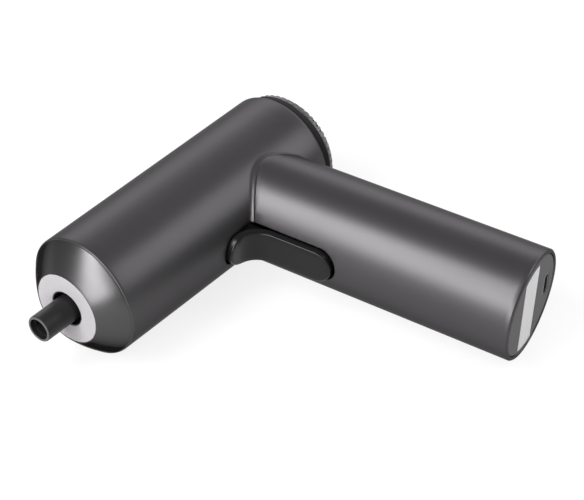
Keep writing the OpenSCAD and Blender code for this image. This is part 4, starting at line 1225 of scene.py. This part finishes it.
@dataclass
class Nose:
    """The turned cone, the frosted ring in it and the lamps behind the ring."""

    dresser: Dresser
    # Stations and radii that the bulged cone passes through, from its mouth to its foot
    cone: tuple[Corner, ...] = ((-13.2, 13.2), (-17.1, 17.875), (-21.0, 21.55))
    cone_steps: int = 13
    mouth_ease: float = 0.08
    ease: float = 0.2
    # The cone's bore at its mouth, the pocket for the ring and the spigot in the barrel
    mouth_bore: float = 13.0
    seat_station: float = -15.4
    pocket: float = 14.6
    pocket_end: float = -18.6
    bore: float = 17.6
    spigot: float = 19.9
    spigot_end: float = -27.0
    # The ring's hole, its rim, the flange in the pocket and the hollow for the lamps
    hole: float = 6.5
    hole_ease: float = 0.3
    ring: float = 12.88
    ring_ease: float = 0.22
    flange: float = 14.5
    flange_end: float = -17.0
    flange_ease: float = 0.1
    hollow: float = 11.7
    web_end: float = -15.6
    # The liner in the ring's hole: its stations, its two radii and the easing of each
    liner_run: tuple[float, float] = (-13.4, -15.9)
    liner: tuple[float, float] = (6.47, 6.15)
    liner_ease: tuple[float, float] = (0.05, 0.1)
    # The lamps: how many, how far out, their blocks, and their domes with the steps
    # of a dome's rise and round it
    lamps: int = 6
    lamp_reach: float = 9.1
    lamp_half: float = 0.75
    lamp_deep: float = 0.6
    dome_start: float = 0.55
    dome_high: float = 0.5
    dome: float = 0.6
    dome_steps: tuple[int, int] = (6, 20)
    lamp_weld: float = 0.001

    def _radius(self, station: float) -> float:
        """Radius of the cone at a station, on the curve through its three points.

        Args:
            station: The station.

        Returns:
            The radius.
        """
        found = 0.0
        for here, radius in self.cone:
            others = [there for there, _ in self.cone if there != here]
            found += radius * math.prod((station - there) / (here - there) for there in others)
        return found

    def build_cone(self) -> bpy.types.Object:
        """Makes the cone with its spigot.

        Returns:
            The piece, tied to the frame.
        """
        (mouth, rim), _, (foot, foot_radius) = self.cone
        flank = [float(s) for s in np.linspace(mouth, foot, self.cone_steps + 1)[1:-1]]
        outline = [
            (mouth, self.mouth_bore, self.mouth_ease),
            (mouth, rim, self.mouth_ease),
            *((station, self._radius(station)) for station in flank),
            (foot, foot_radius, self.ease),
            (foot, self.spigot),
            (self.spigot_end, self.spigot, self.ease),
            (self.spigot_end, self.bore, self.ease),
            (self.pocket_end, self.bore),
            (self.pocket_end, self.pocket),
            (self.seat_station, self.pocket),
            (self.seat_station, self.mouth_bore),
        ]
        return self.dresser.turn(outline, "cone", "nose_metal", "nose_cone", sharp=30)

    def build_ring(self) -> bpy.types.Object:
        """Makes the frosted ring.

        Returns:
            The piece, tied to the frame.
        """
        mouth = self.cone[0][0]
        outline = [
            (mouth, self.hole, self.hole_ease),
            (mouth, self.ring, self.ring_ease),
            (self.seat_station, self.ring),
            (self.seat_station, self.flange, self.flange_ease),
            (self.flange_end, self.flange, self.flange_ease),
            (self.flange_end, self.hollow, self.flange_ease),
            (self.web_end, self.hollow, self.flange_ease),
            (self.web_end, self.hole, self.ease),
        ]
        return self.dresser.turn(outline, "frosted_ring", "diffuser", "light_ring")

    def build_liner(self) -> bpy.types.Object:
        """Makes the dark liner of the ring's hole.

        Returns:
            The piece, tied to the frame.
        """
        (front, back), (outer, inner), (small, large) = self.liner_run, self.liner, self.liner_ease
        outline = [(front, outer, small), (front, inner, large), (back, inner, large), (back, outer, small)]
        return self.dresser.turn(outline, "hole_liner", "dark_plastic")

    def build_lamps(self) -> bpy.types.Object:
        """Makes the domed lamps with the repeating tree.

        Returns:
            The piece, tied to the frame.
        """
        low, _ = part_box("led_lamps")
        back, half = low.x / MM, self.lamp_half
        base = back + self.dome_start
        axis = Axis((0, 0, self.lamp_reach), (1, 0, 0), (0, 1, 0))
        shape = Shape()
        shape.block(axis, (back, -half, -half), (back + self.lamp_deep, half, half))
        rises, steps = self.dome_steps
        turn = np.linspace(0, math.pi / 2, rises)
        dome = [(base + self.dome_high * math.sin(t), self.dome * math.cos(t)) for t in turn]
        shape.lathe(axis, [(base, 0.0), *dome], steps, closed=False)
        paint = self.dresser.paint("lamp")
        lamp = shape.build("one_lamp", paint)
        piece = self.dresser.repeat.run("ring_lamps", lamp, self.lamps, paint, self.lamp_weld)
        return self.dresser.hang(piece, "tool", "lamp", "led_lamps")


@dataclass
class Sleeve:
    """The bit sleeve with its hexagon socket, journal and stub."""

    dresser: Dresser
    steps: int = 144
    ease: float = 0.1
    # From the rear: the stub, the journal with its clip's groove, and the sleeve
    stub: float = 4.0
    stub_end: float = -34.0
    journal: float = 5.0
    journal_end: float = -30.0
    groove: float = 4.6
    groove_run: tuple[float, float] = (-24.9, -24.1)
    sleeve: float = 4.75
    sleeve_end: float = -23.3
    # The rounded mouth: its stations and radii from the outside to the lead-in
    mouth: tuple[Corner, ...] = (
        (-0.75, 4.75), (-0.45, 4.72), (-0.2, 4.62), (-0.06, 4.45), (0.0, 4.25), (0.0, 4.0),
        (-0.05, 3.88), (-0.2, 3.8), (-2.0, 3.8),
    )
    # The hexagon: its flats, how far its corners reach in half its flats, and its stations
    flats: float = 6.45
    corner_reach: float = 1.14
    hexagon_run: tuple[float, ...] = (-2.0, -2.15, -14.0)
    bore: float = 3.0
    bore_end: float = -18.0

    def _hexagon(self, station: float, turn: Points) -> Points:
        """One ring of the hexagon socket, with its corners a little eased."""
        inside = self.flats / 2 / np.cos((turn + math.pi / 6) % (math.pi / 3) - math.pi / 6)
        return BARREL_AXIS.turn(station, np.minimum(inside, self.flats / 2 * self.corner_reach), turn)

    def build(self) -> bpy.types.Object:
        """Makes the sleeve.

        Returns:
            The piece, tied to the frame.
        """
        turn = 2 * math.pi * np.arange(self.steps) / self.steps
        back, front = self.groove_run
        outside = [
            (self.stub_end, 0.0),
            (self.stub_end, self.stub - self.ease),
            (self.stub_end + self.ease, self.stub),
            (self.journal_end, self.stub),
            (self.journal_end, self.journal - self.ease),
            (self.journal_end + self.ease, self.journal),
            (back, self.journal),
            (back, self.groove),
            (front, self.groove),
            (front, self.journal),
            (self.sleeve_end - self.ease, self.journal),
            (self.sleeve_end, self.journal - self.ease),
            (self.sleeve_end, self.sleeve),
            *self.mouth,
        ]
        hexagon_end = self.hexagon_run[-1]
        inside = [(hexagon_end, self.bore), (self.bore_end, self.bore), (self.bore_end, 0.0)]
        rings = [BARREL_AXIS.turn(s, r, turn) for s, r in outside]
        rings += [self._hexagon(s, turn) for s in self.hexagon_run]
        rings += [BARREL_AXIS.turn(s, r, turn) for s, r in inside]
        shape = Shape()
        shape.loft(rings)
        return self.dresser.make(shape, "bit_sleeve", "spindle", "black_steel", "spindle", sharp=28)


@dataclass
class Knob:
    """The ribbed knob behind the barrel, made of one rib repeated round it, and its gap."""

    dresser: Dresser
    # Outside, from the front: the edge, the shoulder, a point of the flank and the face
    front: float = -124.8
    radius: float = 19.9
    edge_end: float = -125.6
    shoulder: float = -126.33
    flank: tuple[float, float] = (-128.0, 18.17)
    back: float = -129.7
    face: float = 16.2
    ease: float = 0.5
    front_ease: float = 0.2
    # The dish in the face, with its two radii and their easing
    dish: float = -129.5
    dish_radii: tuple[float, float] = (14.3, 14.2)
    dish_ease: tuple[float, float] = (0.12, 0.1)
    # Inside: the hub with its bore and the hollow round it
    hub_bore: float = 4.03
    hub: float = 6.0
    hollow: float = 16.9
    hollow_end: float = -127.9
    # The grooves between the ribs
    ribs: int = 48
    groove: float = 1.15
    half_groove: float = 0.86
    groove_start: float = 0.8
    face_margin: float = 0.3
    # How steep a groove's flank is, 1 being a plain V, and where its points lie
    steepness: float = 1.7
    groove_points: tuple[float, ...] = (-1.12, -0.92, -0.6, -0.33, 0.0)
    # The ring of painted shade in the gap: its stations, its two radii and its easing
    gap_run: tuple[float, float] = (-121.9, -124.4)
    gap_radii: tuple[float, float] = (18.35, 20.3)
    gap_ease: float = 0.2

    def _depth(self, station: float, radius: float) -> float:
        """Depth of the groove at a point of the profile.

        Args:
            station: The point's station.
            radius: The point's radius.

        Returns:
            The depth.
        """
        if radius < self.face - self.face_margin:
            return 0.0
        if station <= self.shoulder:
            return self.groove
        return max(0.0, self.groove * (1 - (station - self.shoulder) / self.groove_start))

    def build(self) -> bpy.types.Object:
        """Makes the knob.

        Returns:
            The piece, tied to the frame.
        """
        outline = rounded(
            [
                (self.front, self.radius, self.front_ease),
                (self.edge_end, self.radius),
                (self.shoulder, self.radius, self.ease),
                self.flank,
                (self.back, self.face, self.ease),
                (self.back, self.dish_radii[0], self.dish_ease[0]),
                (self.dish, self.dish_radii[1], self.dish_ease[1]),
                (self.dish, self.hub_bore),
                (self.front, self.hub_bore),
                (self.front, self.hub),
                (self.hollow_end, self.hub),
                (self.hollow_end, self.hollow),
                (self.front, self.hollow),
            ]
        )
        step = math.pi / self.ribs
        reach = self.half_groove / self.radius
        half = [-step, -(reach + step) / 2, *(share * reach for share in self.groove_points)]
        angles = np.array([*half, *(-a for a in half[-2::-1])])
        cut = np.clip(self.steepness * (1 - np.abs(angles) / reach), 0, 1)
        rings = []
        for angle, share in zip(angles, cut):
            ring = [BARREL_AXIS.turn(s, r - self._depth(s, r) * share, angle) for s, r in outline]
            rings.append(np.array(ring))
        shape = Shape()
        shape.loft(rings)
        paint = self.dresser.paints.get(KNOB_FINISH)
        piece = self.dresser.repeat.run("ribbed_knob", shape.build("one_rib", paint), self.ribs, paint)
        return self.dresser.hang(piece, "mode_knob", "shell", "mode_knob")

    def build_shade_ring_in_gap(self) -> bpy.types.Object:
        """Makes the dark ring in the gap in front of the knob, a matt ring of painted shade.

        Returns:
            The piece, tied to the frame.
        """
        (front, back), (inner, outer) = self.gap_run, self.gap_radii
        outline = [(front, inner), (front, outer, self.gap_ease), (back, outer, self.gap_ease), (back, inner)]
        # Painted shade: the ring is dressed dark and matt to stand for the shade in the gap
        return self.dresser.turn(outline, "gap_ring", "dark_plastic", finish=SHADE_GAP_FINISH)


@dataclass
class Trigger:
    """The bent rocking trigger: a stadium laid along the corner, with ears and plungers."""

    dresser: Dresser
    half: float = 6.2
    thick: float = 2.4
    edge: float = 0.55
    clear: float = 0.3
    bend: float = 8.3
    tip: float = -67.9
    level: float = 23.7
    front: float = 20.45
    reach: float = 49.6
    end_steps: int = 33
    side_steps: int = 50
    # Free points: how near the ends they come, how far past the bend the first run goes,
    # where the second run starts, how far they spread across, and their counts
    end_margin: float = 0.5
    past_bend: float = 1.0
    second_run: float = 17.5
    run_steps: tuple[int, int] = (32, 14)
    spread: float = 5.4
    spread_steps: int = 9
    # The two ears: their pin's place and hole, their sides, their round and their block
    pin: tuple[float, float] = (31.0, 11.0)
    pin_hole: float = 1.05
    ear_sides: tuple[float, float] = (3.2, 5.4)
    ear: float = 2.4
    ear_ease: float = 0.15
    ear_low: float = 12.6
    ear_overlap: float = 0.1
    ear_steps: int = 40
    # The two plungers: stations with the levels of their ends, and their sizes
    plungers: tuple[Corner, ...] = ((42.0, 11.88), (25.0, 11.62))
    plunger: float = 1.5
    plunger_ease: float = 0.2
    plunger_top: float = 18.1
    plunger_steps: int = 32
    # The skirt of painted shade round the flank: how deep it goes, and the inset of each of its lines with
    # whether it is a deep one
    skirt: float = 2.35
    shade_skirt_start: float = 0.1
    shade_skirt_lines: tuple[tuple[float, bool], ...] = ((-0.03, False), (0.6, True), (1.2, True), (0.9, False))

    def __post_init__(self) -> None:
        """Works out the corner's arc and the lengths of the two straights."""
        lean_s, lean_c = math.sin(LEAN), math.cos(LEAN)
        root = HANDLE_AXIS.origin[0]
        self.middle_y = self.level + self.bend
        self.middle_x = root + (self.front + self.bend - self.middle_y * lean_s) / lean_c
        self.turned = math.pi / 2 - LEAN
        self.short = self.tip - self.middle_x
        arc_end = (self.middle_x - root) * -lean_s + self.middle_y * lean_c
        self.length = self.short + self.bend * self.turned + self.reach - arc_end

    def away(self, flat: Points) -> Points:
        """Distance inside the stadium's outline."""
        middle = np.clip(flat[:, 0], self.half, self.length - self.half)
        return self.half - np.hypot(flat[:, 0] - middle, flat[:, 1])

    def outline(self, inset: float) -> Points:
        """The stadium's outline.

        Args:
            inset: How much smaller it is made.

        Returns:
            Flat points in order.
        """
        half, far = self.half - inset, self.length - self.half
        turn = np.linspace(-math.pi / 2, math.pi / 2, self.end_steps)
        run = np.linspace(self.half, far, self.side_steps)[1:-1]
        ends = arc(far, half, turn), arc(self.half, -half, turn)
        return np.concatenate([ends[0], row(run[::-1], half), ends[1], row(run, -half)])

    def lay(self, flat: Points, height: object) -> Points:
        """Bends flat points round the corner.

        Args:
            flat: Distances along the trigger and across it.
            height: How far each, or all, stand out of the trigger's face.

        Returns:
            The points in place.
        """
        run, side = flat[:, 0], flat[:, 1]
        height = np.broadcast_to(height, len(flat))
        angle = np.clip((run - self.short) / self.bend, 0, self.turned)
        before = np.minimum(run - self.short, 0)
        after = np.maximum(run - self.short - self.bend * self.turned, 0)
        way = np.column_stack([-np.cos(angle), np.sin(angle)])
        out = np.column_stack([np.sin(angle), np.cos(angle)])
        point = np.array([self.middle_x, self.middle_y]) - self.bend * out + height[:, None] * out
        point = point + (before + after)[:, None] * way
        return np.column_stack([point, side])

    def _add_ears(self, shape: Shape) -> None:
        """Adds the two ears with the holes for the pin.

        Args:
            shape: The trigger's shape.
        """
        station, out = self.pin
        pin = Axis(
            tuple(HANDLE_AXIS.flat(station, out, 0.0)), (0, 0, 1), HANDLE_AXIS.first, HANDLE_AXIS.along
        )
        top = self.front - self.thick + self.ear_overlap
        for side in (-1, 1):
            low, high = sorted(side * reach for reach in self.ear_sides)
            section = [
                (low, self.pin_hole),
                (high, self.pin_hole),
                (high, self.ear, self.ear_ease),
                (low, self.ear, self.ear_ease),
            ]
            shape.lathe(pin, rounded(section, 2), self.ear_steps)
            corners = (station - self.ear, self.ear_low, low), (station + self.ear, top, high)
            shape.block(HANDLE_AXIS, *corners)

    def _add_plungers(self, shape: Shape) -> None:
        """Adds the two plungers that press the switches.

        Args:
            shape: The trigger's shape.
        """
        for station, low in self.plungers:
            rod = Axis(tuple(HANDLE_AXIS.flat(station, 0.0, 0.0)), HANDLE_AXIS.first, HANDLE_AXIS.along)
            profile = [
                (low, 0),
                (low, self.plunger - self.plunger_ease),
                (low + self.plunger_ease, self.plunger),
                (self.plunger_top, self.plunger),
                (self.plunger_top, 0),
            ]
            shape.lathe(rod, profile, self.plunger_steps, closed=False)

    def build(self) -> bpy.types.Object:
        """Makes the trigger.

        Returns:
            The piece, tied to the frame.
        """
        bend_end = self.short + self.bend * self.turned + self.past_bend
        first = np.linspace(self.end_margin, bend_end, self.run_steps[0])
        second = np.linspace(self.second_run, self.length - self.end_margin, self.run_steps[1])
        across = np.linspace(-self.spread, self.spread, self.spread_steps)
        grid = lattice(np.concatenate([first, second]), across)
        shape = Shape()
        shape.patch(
            [(self.outline(d), True) for d in edge_steps(self.edge)],
            grid[self.away(grid) > self.edge + self.clear],
            lambda flat: self.away(flat) > 0,
            lambda flat: self.lay(flat, -edge_drop(self.away(flat), self.edge)),
            lambda flat: self.lay(flat, -self.thick),
        )
        self._add_ears(shape)
        self._add_plungers(shape)
        return self.dresser.make(shape, "rocking_trigger", "trigger", "dark_plastic", "trigger", sharp=50)

    def build_shade_skirt(self) -> bpy.types.Object:
        """Makes the matt skirt round the trigger's flank, which is deeper at the corner: a near-black sheet
        of painted shade in the gap round the trigger.

        Returns:
            The piece, tied to the frame.
        """
        rings = []
        for inset, low in self.shade_skirt_lines:
            line = self.outline(inset)
            angle = np.clip((line[:, 0] - self.short) / self.bend, 0, self.turned)
            deep = (self.bend + self.skirt) / np.cos(np.minimum(angle, self.turned - angle)) - self.bend
            rings.append(self.lay(line, -deep if low else -self.edge - self.shade_skirt_start))
        shape = Shape()
        shape.loft(rings, closed=True)
        # Painted shade: the skirt is dressed near black and matt to stand for the shade in the gap round the
        # trigger
        return self.dresser.make(shape, "trigger_skirt", "trigger", "dark_plastic", finish=SHADE_SKIRT_FINISH)


@dataclass
class Base:
    """The handle's end cap with its charge opening and its blank pale plate."""

    dresser: Dresser
    face: float = 114.0
    back: float = 112.0
    radius: float = 18.3
    edge: float = 0.9
    # Share of its rounding by which the cap's rim really falls
    fall: float = 0.45
    # Free points: how far they spread, how many on a line, and their room from edges
    spread: float = 16.0
    spots: int = 17
    free_radius: float = 16.9
    clear: float = 0.6
    # The skirt in the handle: its two radii, its end, its easing and its overlap with the disc
    skirt: tuple[float, float] = (17.79, 16.59)
    skirt_end: float = 108.0
    skirt_ease: float = 0.2
    overlap: float = 0.05
    # The charge opening: its middle, half width, half length between its round ends and edge
    port_middle: float = -12.0
    port_half: float = 1.7
    port_reach: float = 2.9
    port_edge: float = 0.2
    port_steps: int = 20
    # The opening's liner: how deep it starts, how far it stays off the back, and its two sides
    liner_sunk: float = 0.22
    liner_clear: float = 0.1
    liner: tuple[float, float] = (-0.02, -0.22)
    # The plate: its sides, its end's radius at the top and at the foot, and its edge
    plate: tuple[float, float] = (-3.5, 7.1)
    plate_top: float = 15.6
    plate_foot: float = 17.2
    plate_edge: float = 0.12
    plate_gap: float = 0.05
    plate_deep: float = 0.3
    plate_steps: int = 16
    plate_spots: tuple[float, ...] = (0.0, 3.0, 6.0)
    plate_spread: float = 14
    plate_rows: int = 8
    # The recess under the plate: how far it reaches under the cap's face, and its depth
    recess_grow: float = 0.15
    recess_deep: float = 0.32

    @staticmethod
    def _at(station: object, flat: Points) -> Points:
        """Puts flat points of the cap at a station, one for all or one each."""
        return HANDLE_AXIS.flat(station, flat[:, 0], flat[:, 1])

    def _rim(self, flat: Points) -> Points:
        """Distance inside the cap's rim."""
        return self.radius - np.hypot(flat[:, 0], flat[:, 1])

    def _port(self, flat: Points) -> Points:
        """Distance outside the charge opening."""
        past = np.maximum(np.abs(flat[:, 1]) - self.port_reach, 0)
        return np.hypot(flat[:, 0] - self.port_middle, past) - self.port_half

    def _plate(self, flat: Points) -> Points:
        """Distance inside the plate's outline.

        Args:
            flat: Flat points of the cap.

        Returns:
            Their distances.
        """
        left, right = self.plate
        reach = np.where(flat[:, 1] > 0, self.plate_top, self.plate_foot)
        sides = [flat[:, 0] - left, right - flat[:, 0], reach - np.hypot(flat[:, 0], flat[:, 1])]
        return np.minimum.reduce(sides)

    def _port_line(self, grow: float) -> Points:
        """Outline of the charge opening.

        Args:
            grow: How much larger it is made.

        Returns:
            Flat points in order.
        """
        turn = np.linspace(0, math.pi, self.port_steps)
        top = arc(self.port_middle, self.port_half + grow, turn) + (0, self.port_reach)
        return np.concatenate([top, (top * (1, -1))[::-1]])

    def _plate_line(self, inset: float) -> Points:
        """Outline of the plate.

        Args:
            inset: How much smaller it is made.

        Returns:
            Flat points in order.
        """
        low, high = self.plate[0] + inset, self.plate[1] - inset
        ends = []
        for radius, side in ((self.plate_top - inset, 1), (self.plate_foot - inset, -1)):
            turn = np.linspace(math.acos(high / radius), math.acos(low / radius), self.plate_steps)
            ends.append(arc(0, radius, side * turn[::side]))
        return np.concatenate(ends)

    def _face(self, flat: Points) -> Points:
        """Puts flat points on the cap's face.

        Args:
            flat: Flat points of the cap.

        Returns:
            The points in place.
        """
        drop = np.maximum.reduce(
            [
                edge_drop(self._rim(flat), self.edge) * self.fall,
                edge_drop(self._port(flat), self.port_edge),
                edge_drop(-self._plate(flat), self.plate_edge),
            ]
        )
        return self._at(self.face - drop, flat)

    def build_cap(self) -> bpy.types.Object:
        """Makes the cap.

        Returns:
            The piece, tied to the frame.
        """
        line = np.linspace(-self.spread, self.spread, self.spots)
        spots = lattice(line, line)
        inside = np.hypot(*spots.T) < self.free_radius
        clear = np.minimum(self._port(spots), np.abs(self._plate(spots))) > self.clear
        turn = np.linspace(-math.pi, math.pi, ROUND + 1)[:-1]
        loops = [(arc(0, self.radius - d, turn), True) for d in edge_steps(self.edge)]
        loops += [(self._port_line(d), True) for d in edge_steps(self.port_edge)]
        loops += [(self._plate_line(-d), True) for d in edge_steps(self.plate_edge)]
        shape = Shape()
        shape.patch(
            loops,
            spots[inside & clear],
            lambda flat: np.minimum.reduce([self._rim(flat), self._port(flat), -self._plate(flat)]) > 0,
            self._face,
            lambda flat: self._at(self.back, flat),
        )
        shape.patch(
            [(self._plate_line(-self.recess_grow), True)],
            np.array([(self.plate_spots[1], 0.0)]),
            lambda flat: self._plate(flat) > -self.recess_grow,
            lambda flat: self._at(self.face - self.recess_deep, flat),
            lambda flat: self._at(self.back + self.overlap, flat),
        )
        start, (outer, inner) = self.back + self.overlap, self.skirt
        skirt = [
            (start, outer),
            (self.skirt_end, outer, self.skirt_ease),
            (self.skirt_end, inner, self.skirt_ease),
            (start, inner),
        ]
        shape.lathe(HANDLE_AXIS, rounded(skirt))
        return self.dresser.make(shape, "end_cap", "tool", "cap_grey", "base_cap", sharp=50)

    def build_liner(self) -> bpy.types.Object:
        """Makes the dark liner of the charge opening.

        Returns:
            The piece, tied to the frame.
        """
        low, high = self.back + self.liner_clear, self.face - self.liner_sunk
        outer, inner = self.liner
        section = [(high, outer), (high, inner), (low, inner), (low, outer)]
        shape = Shape()
        shape.loft([self._at(station, self._port_line(grow)) for station, grow in section], closed=True)
        return self.dresser.make(shape, "port_liner", "tool", "dark_plastic")

    def build_plate(self) -> bpy.types.Object:
        """Makes the blank plate.

        Returns:
            The piece, tied to the frame.
        """
        gap, edge = self.plate_gap, self.plate_edge
        across = np.linspace(-self.plate_spread, self.plate_spread, self.plate_rows)
        shape = Shape()
        shape.patch(
            [(self._plate_line(gap + d), True) for d in edge_steps(edge)],
            lattice(self.plate_spots, across),
            lambda flat: self._plate(flat) > gap,
            lambda flat: self._at(self.face - edge_drop(self._plate(flat) - gap, edge), flat),
            lambda flat: self._at(self.face - self.plate_deep, flat),
        )
        return self.dresser.make(shape, "pale_plate", "tool", "plate_pale", "base_plate", sharp=50)


# Stage


@dataclass(frozen=True)
class Softbox:
    """An area lamp that looks at the tool, with its half extents as angles."""

    name: str
    azimuth: float
    elevation: float
    distance: float
    wide: float
    high: float
    roll: float
    bright: float

    def build(self, aim: Vector) -> None:
        """Makes the lamp.

        Args:
            aim: The point that it looks at.
        """
        a, e = math.radians(self.azimuth), math.radians(self.elevation)
        way = Vector((math.cos(a) * math.cos(e), math.sin(a) * math.cos(e), math.sin(e)))
        roll = Quaternion((0, 0, 1), math.radians(self.roll))
        lamp = bpy.data.lights.new(self.name, "AREA")
        lamp.shape = "RECTANGLE"
        spans = [2 * self.distance * math.tan(math.radians(half)) for half in (self.wide, self.high)]
        lamp.size, lamp.size_y = spans
        lamp.energy = self.bright * math.pi * lamp.size * lamp.size_y
        made = new_object(self.name, lamp)
        made.location = aim + way * self.distance
        made.rotation_mode = "QUATERNION"
        made.rotation_quaternion = (-way).to_track_quat("-Z", "Y") @ roll


@dataclass(frozen=True)
class Viewpoint:
    """Where the photograph was taken from, in metres, and through what lens."""

    place: Corner = (0.40599, 0.41364, 0.56545)
    right: Corner = (-0.64035, 0.76684, 0.04372)
    down: Corner = (0.49735, 0.45734, -0.73721)
    ahead: Corner = (-0.58532, -0.45033, -0.67424)
    sensor: float = 36.0
    lens: float = 153.6
    nearest: float = 0.01
    farthest: float = 50

    def build(self) -> None:
        """Makes the camera and looks through it."""
        lens = bpy.data.cameras.new("camera")
        lens.sensor_fit = "HORIZONTAL"
        lens.sensor_width, lens.lens = self.sensor, self.lens
        lens.clip_start, lens.clip_end = self.nearest, self.farthest
        camera = new_object("camera", lens)
        turn = Matrix((Vector(self.right), -Vector(self.down), -Vector(self.ahead)))
        camera.matrix_world = Matrix.Translation(self.place) @ turn.transposed().to_4x4()
        bpy.context.scene.camera = camera


@dataclass
class Stage:
    """The camera, the floor and the lamps, in metres."""

    viewpoint: Viewpoint = Viewpoint()
    aim: tuple[float, float, float] = (-0.068, 0.047, 0.0)
    floor_level: float = -Barrel.radius * MM
    floor_half: float = 4.0
    # The floor's own colour and gloss, and how white it shows to the camera and in reflections
    pale: float = 0.19
    rough: float = 0.9
    specular: float = 0.2
    white: float = 0.8
    sky: tuple[float, float, float, float] = (1.0, 0.99, 1.0, 1)
    sky_light: float = 0.4
    lamps: tuple[Softbox, ...] = (
        Softbox("key", 1, 31.5, 1.0, 10, 35, 47, 10.6),
        Softbox("top", -22, 59, 1.0, 9, 8, 0, 10),
        Softbox("fill", 136, 35, 1.0, 6, 18, -25, 5),
        Softbox("back", 206, 20, 1.4, 45, 16, 0, 2.5),
    )

    def _paper(self) -> bpy.types.Material:
        """Makes the floor's material.

        Returns:
            The material.
        """
        paper = bpy.data.materials.new("paper")
        paper.use_nodes = True
        graph = Graph(paper.node_tree)
        add, math_node = graph.add, "ShaderNodeMath"
        shader = graph.tree.nodes["Principled BSDF"]
        colour = (self.pale, self.pale, self.pale, 1)
        inputs = {"Base Color": colour, "Roughness": self.rough, "Specular IOR Level": self.specular}
        graph.feed(shader, inputs)
        rays = add("ShaderNodeLightPath").outputs
        shows = add(math_node, {0: rays["Is Camera Ray"], 1: rays["Is Glossy Ray"]}, operation="ADD")
        inputs = {0: shows, 1: rays["Is Transmission Ray"]}
        shows = add(math_node, inputs, operation="ADD", use_clamp=True)
        part = add(math_node, {0: shows, 1: self.white}, operation="MULTIPLY")
        both = add("ShaderNodeAddShader", {0: shader, 1: add("ShaderNodeEmission", {"Strength": part})})
        graph.feed(graph.tree.nodes["Material Output"], {"Surface": both})
        return paper

    def _build_floor(self) -> None:
        """Makes the pale floor, which shows white to the camera and in reflections."""
        mesh = bpy.data.meshes.new("floor")
        half = self.floor_half
        corners = [(-half, -half), (half, -half), (half, half), (-half, half)]
        mesh.from_pydata([(x, y, self.floor_level) for x, y in corners], [], [(0, 1, 2, 3)])
        mesh.materials.append(self._paper())
        floor = new_object("floor", mesh)

    def build(self) -> None:
        """Makes everything round the tool."""
        self.viewpoint.build()
        self._build_floor()
        for lamp in self.lamps:
            lamp.build(Vector(self.aim))
        world = bpy.data.worlds.new("studio")
        world.use_nodes = True
        background = world.node_tree.nodes["Background"]
        Graph(world.node_tree).feed(background, {"Color": self.sky, "Strength": self.sky_light})
        bpy.context.scene.world = world
        bpy.context.scene.view_settings.view_transform = "Standard"


def main() -> None:
    """Dresses the frame and sets the stage."""
    logging.basicConfig(level=logging.INFO, format="%(name)s: %(message)s")
    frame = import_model()
    dresser = Dresser(frame)
    Stage().build()
    handle, nose, knob = Handle(dresser), Nose(dresser), Knob(dresser)
    trigger, base = Trigger(dresser), Base(dresser)
    pieces = [
        Barrel(dresser).build(),
        handle.build(),
        handle.build_lip(),
        nose.build_cone(),
        nose.build_ring(),
        nose.build_liner(),
        nose.build_lamps(),
        Sleeve(dresser).build(),
        knob.build(),
        knob.build_shade_ring_in_gap(),
        trigger.build(),
        trigger.build_shade_skirt(),
        base.build_cap(),
        base.build_liner(),
        base.build_plate(),
    ]
    for piece in pieces:
        LOG.info("piece %s on %s", piece.name, piece["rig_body"])
    dresser.dress_nodes()


if __name__ == "__main__":
    main()
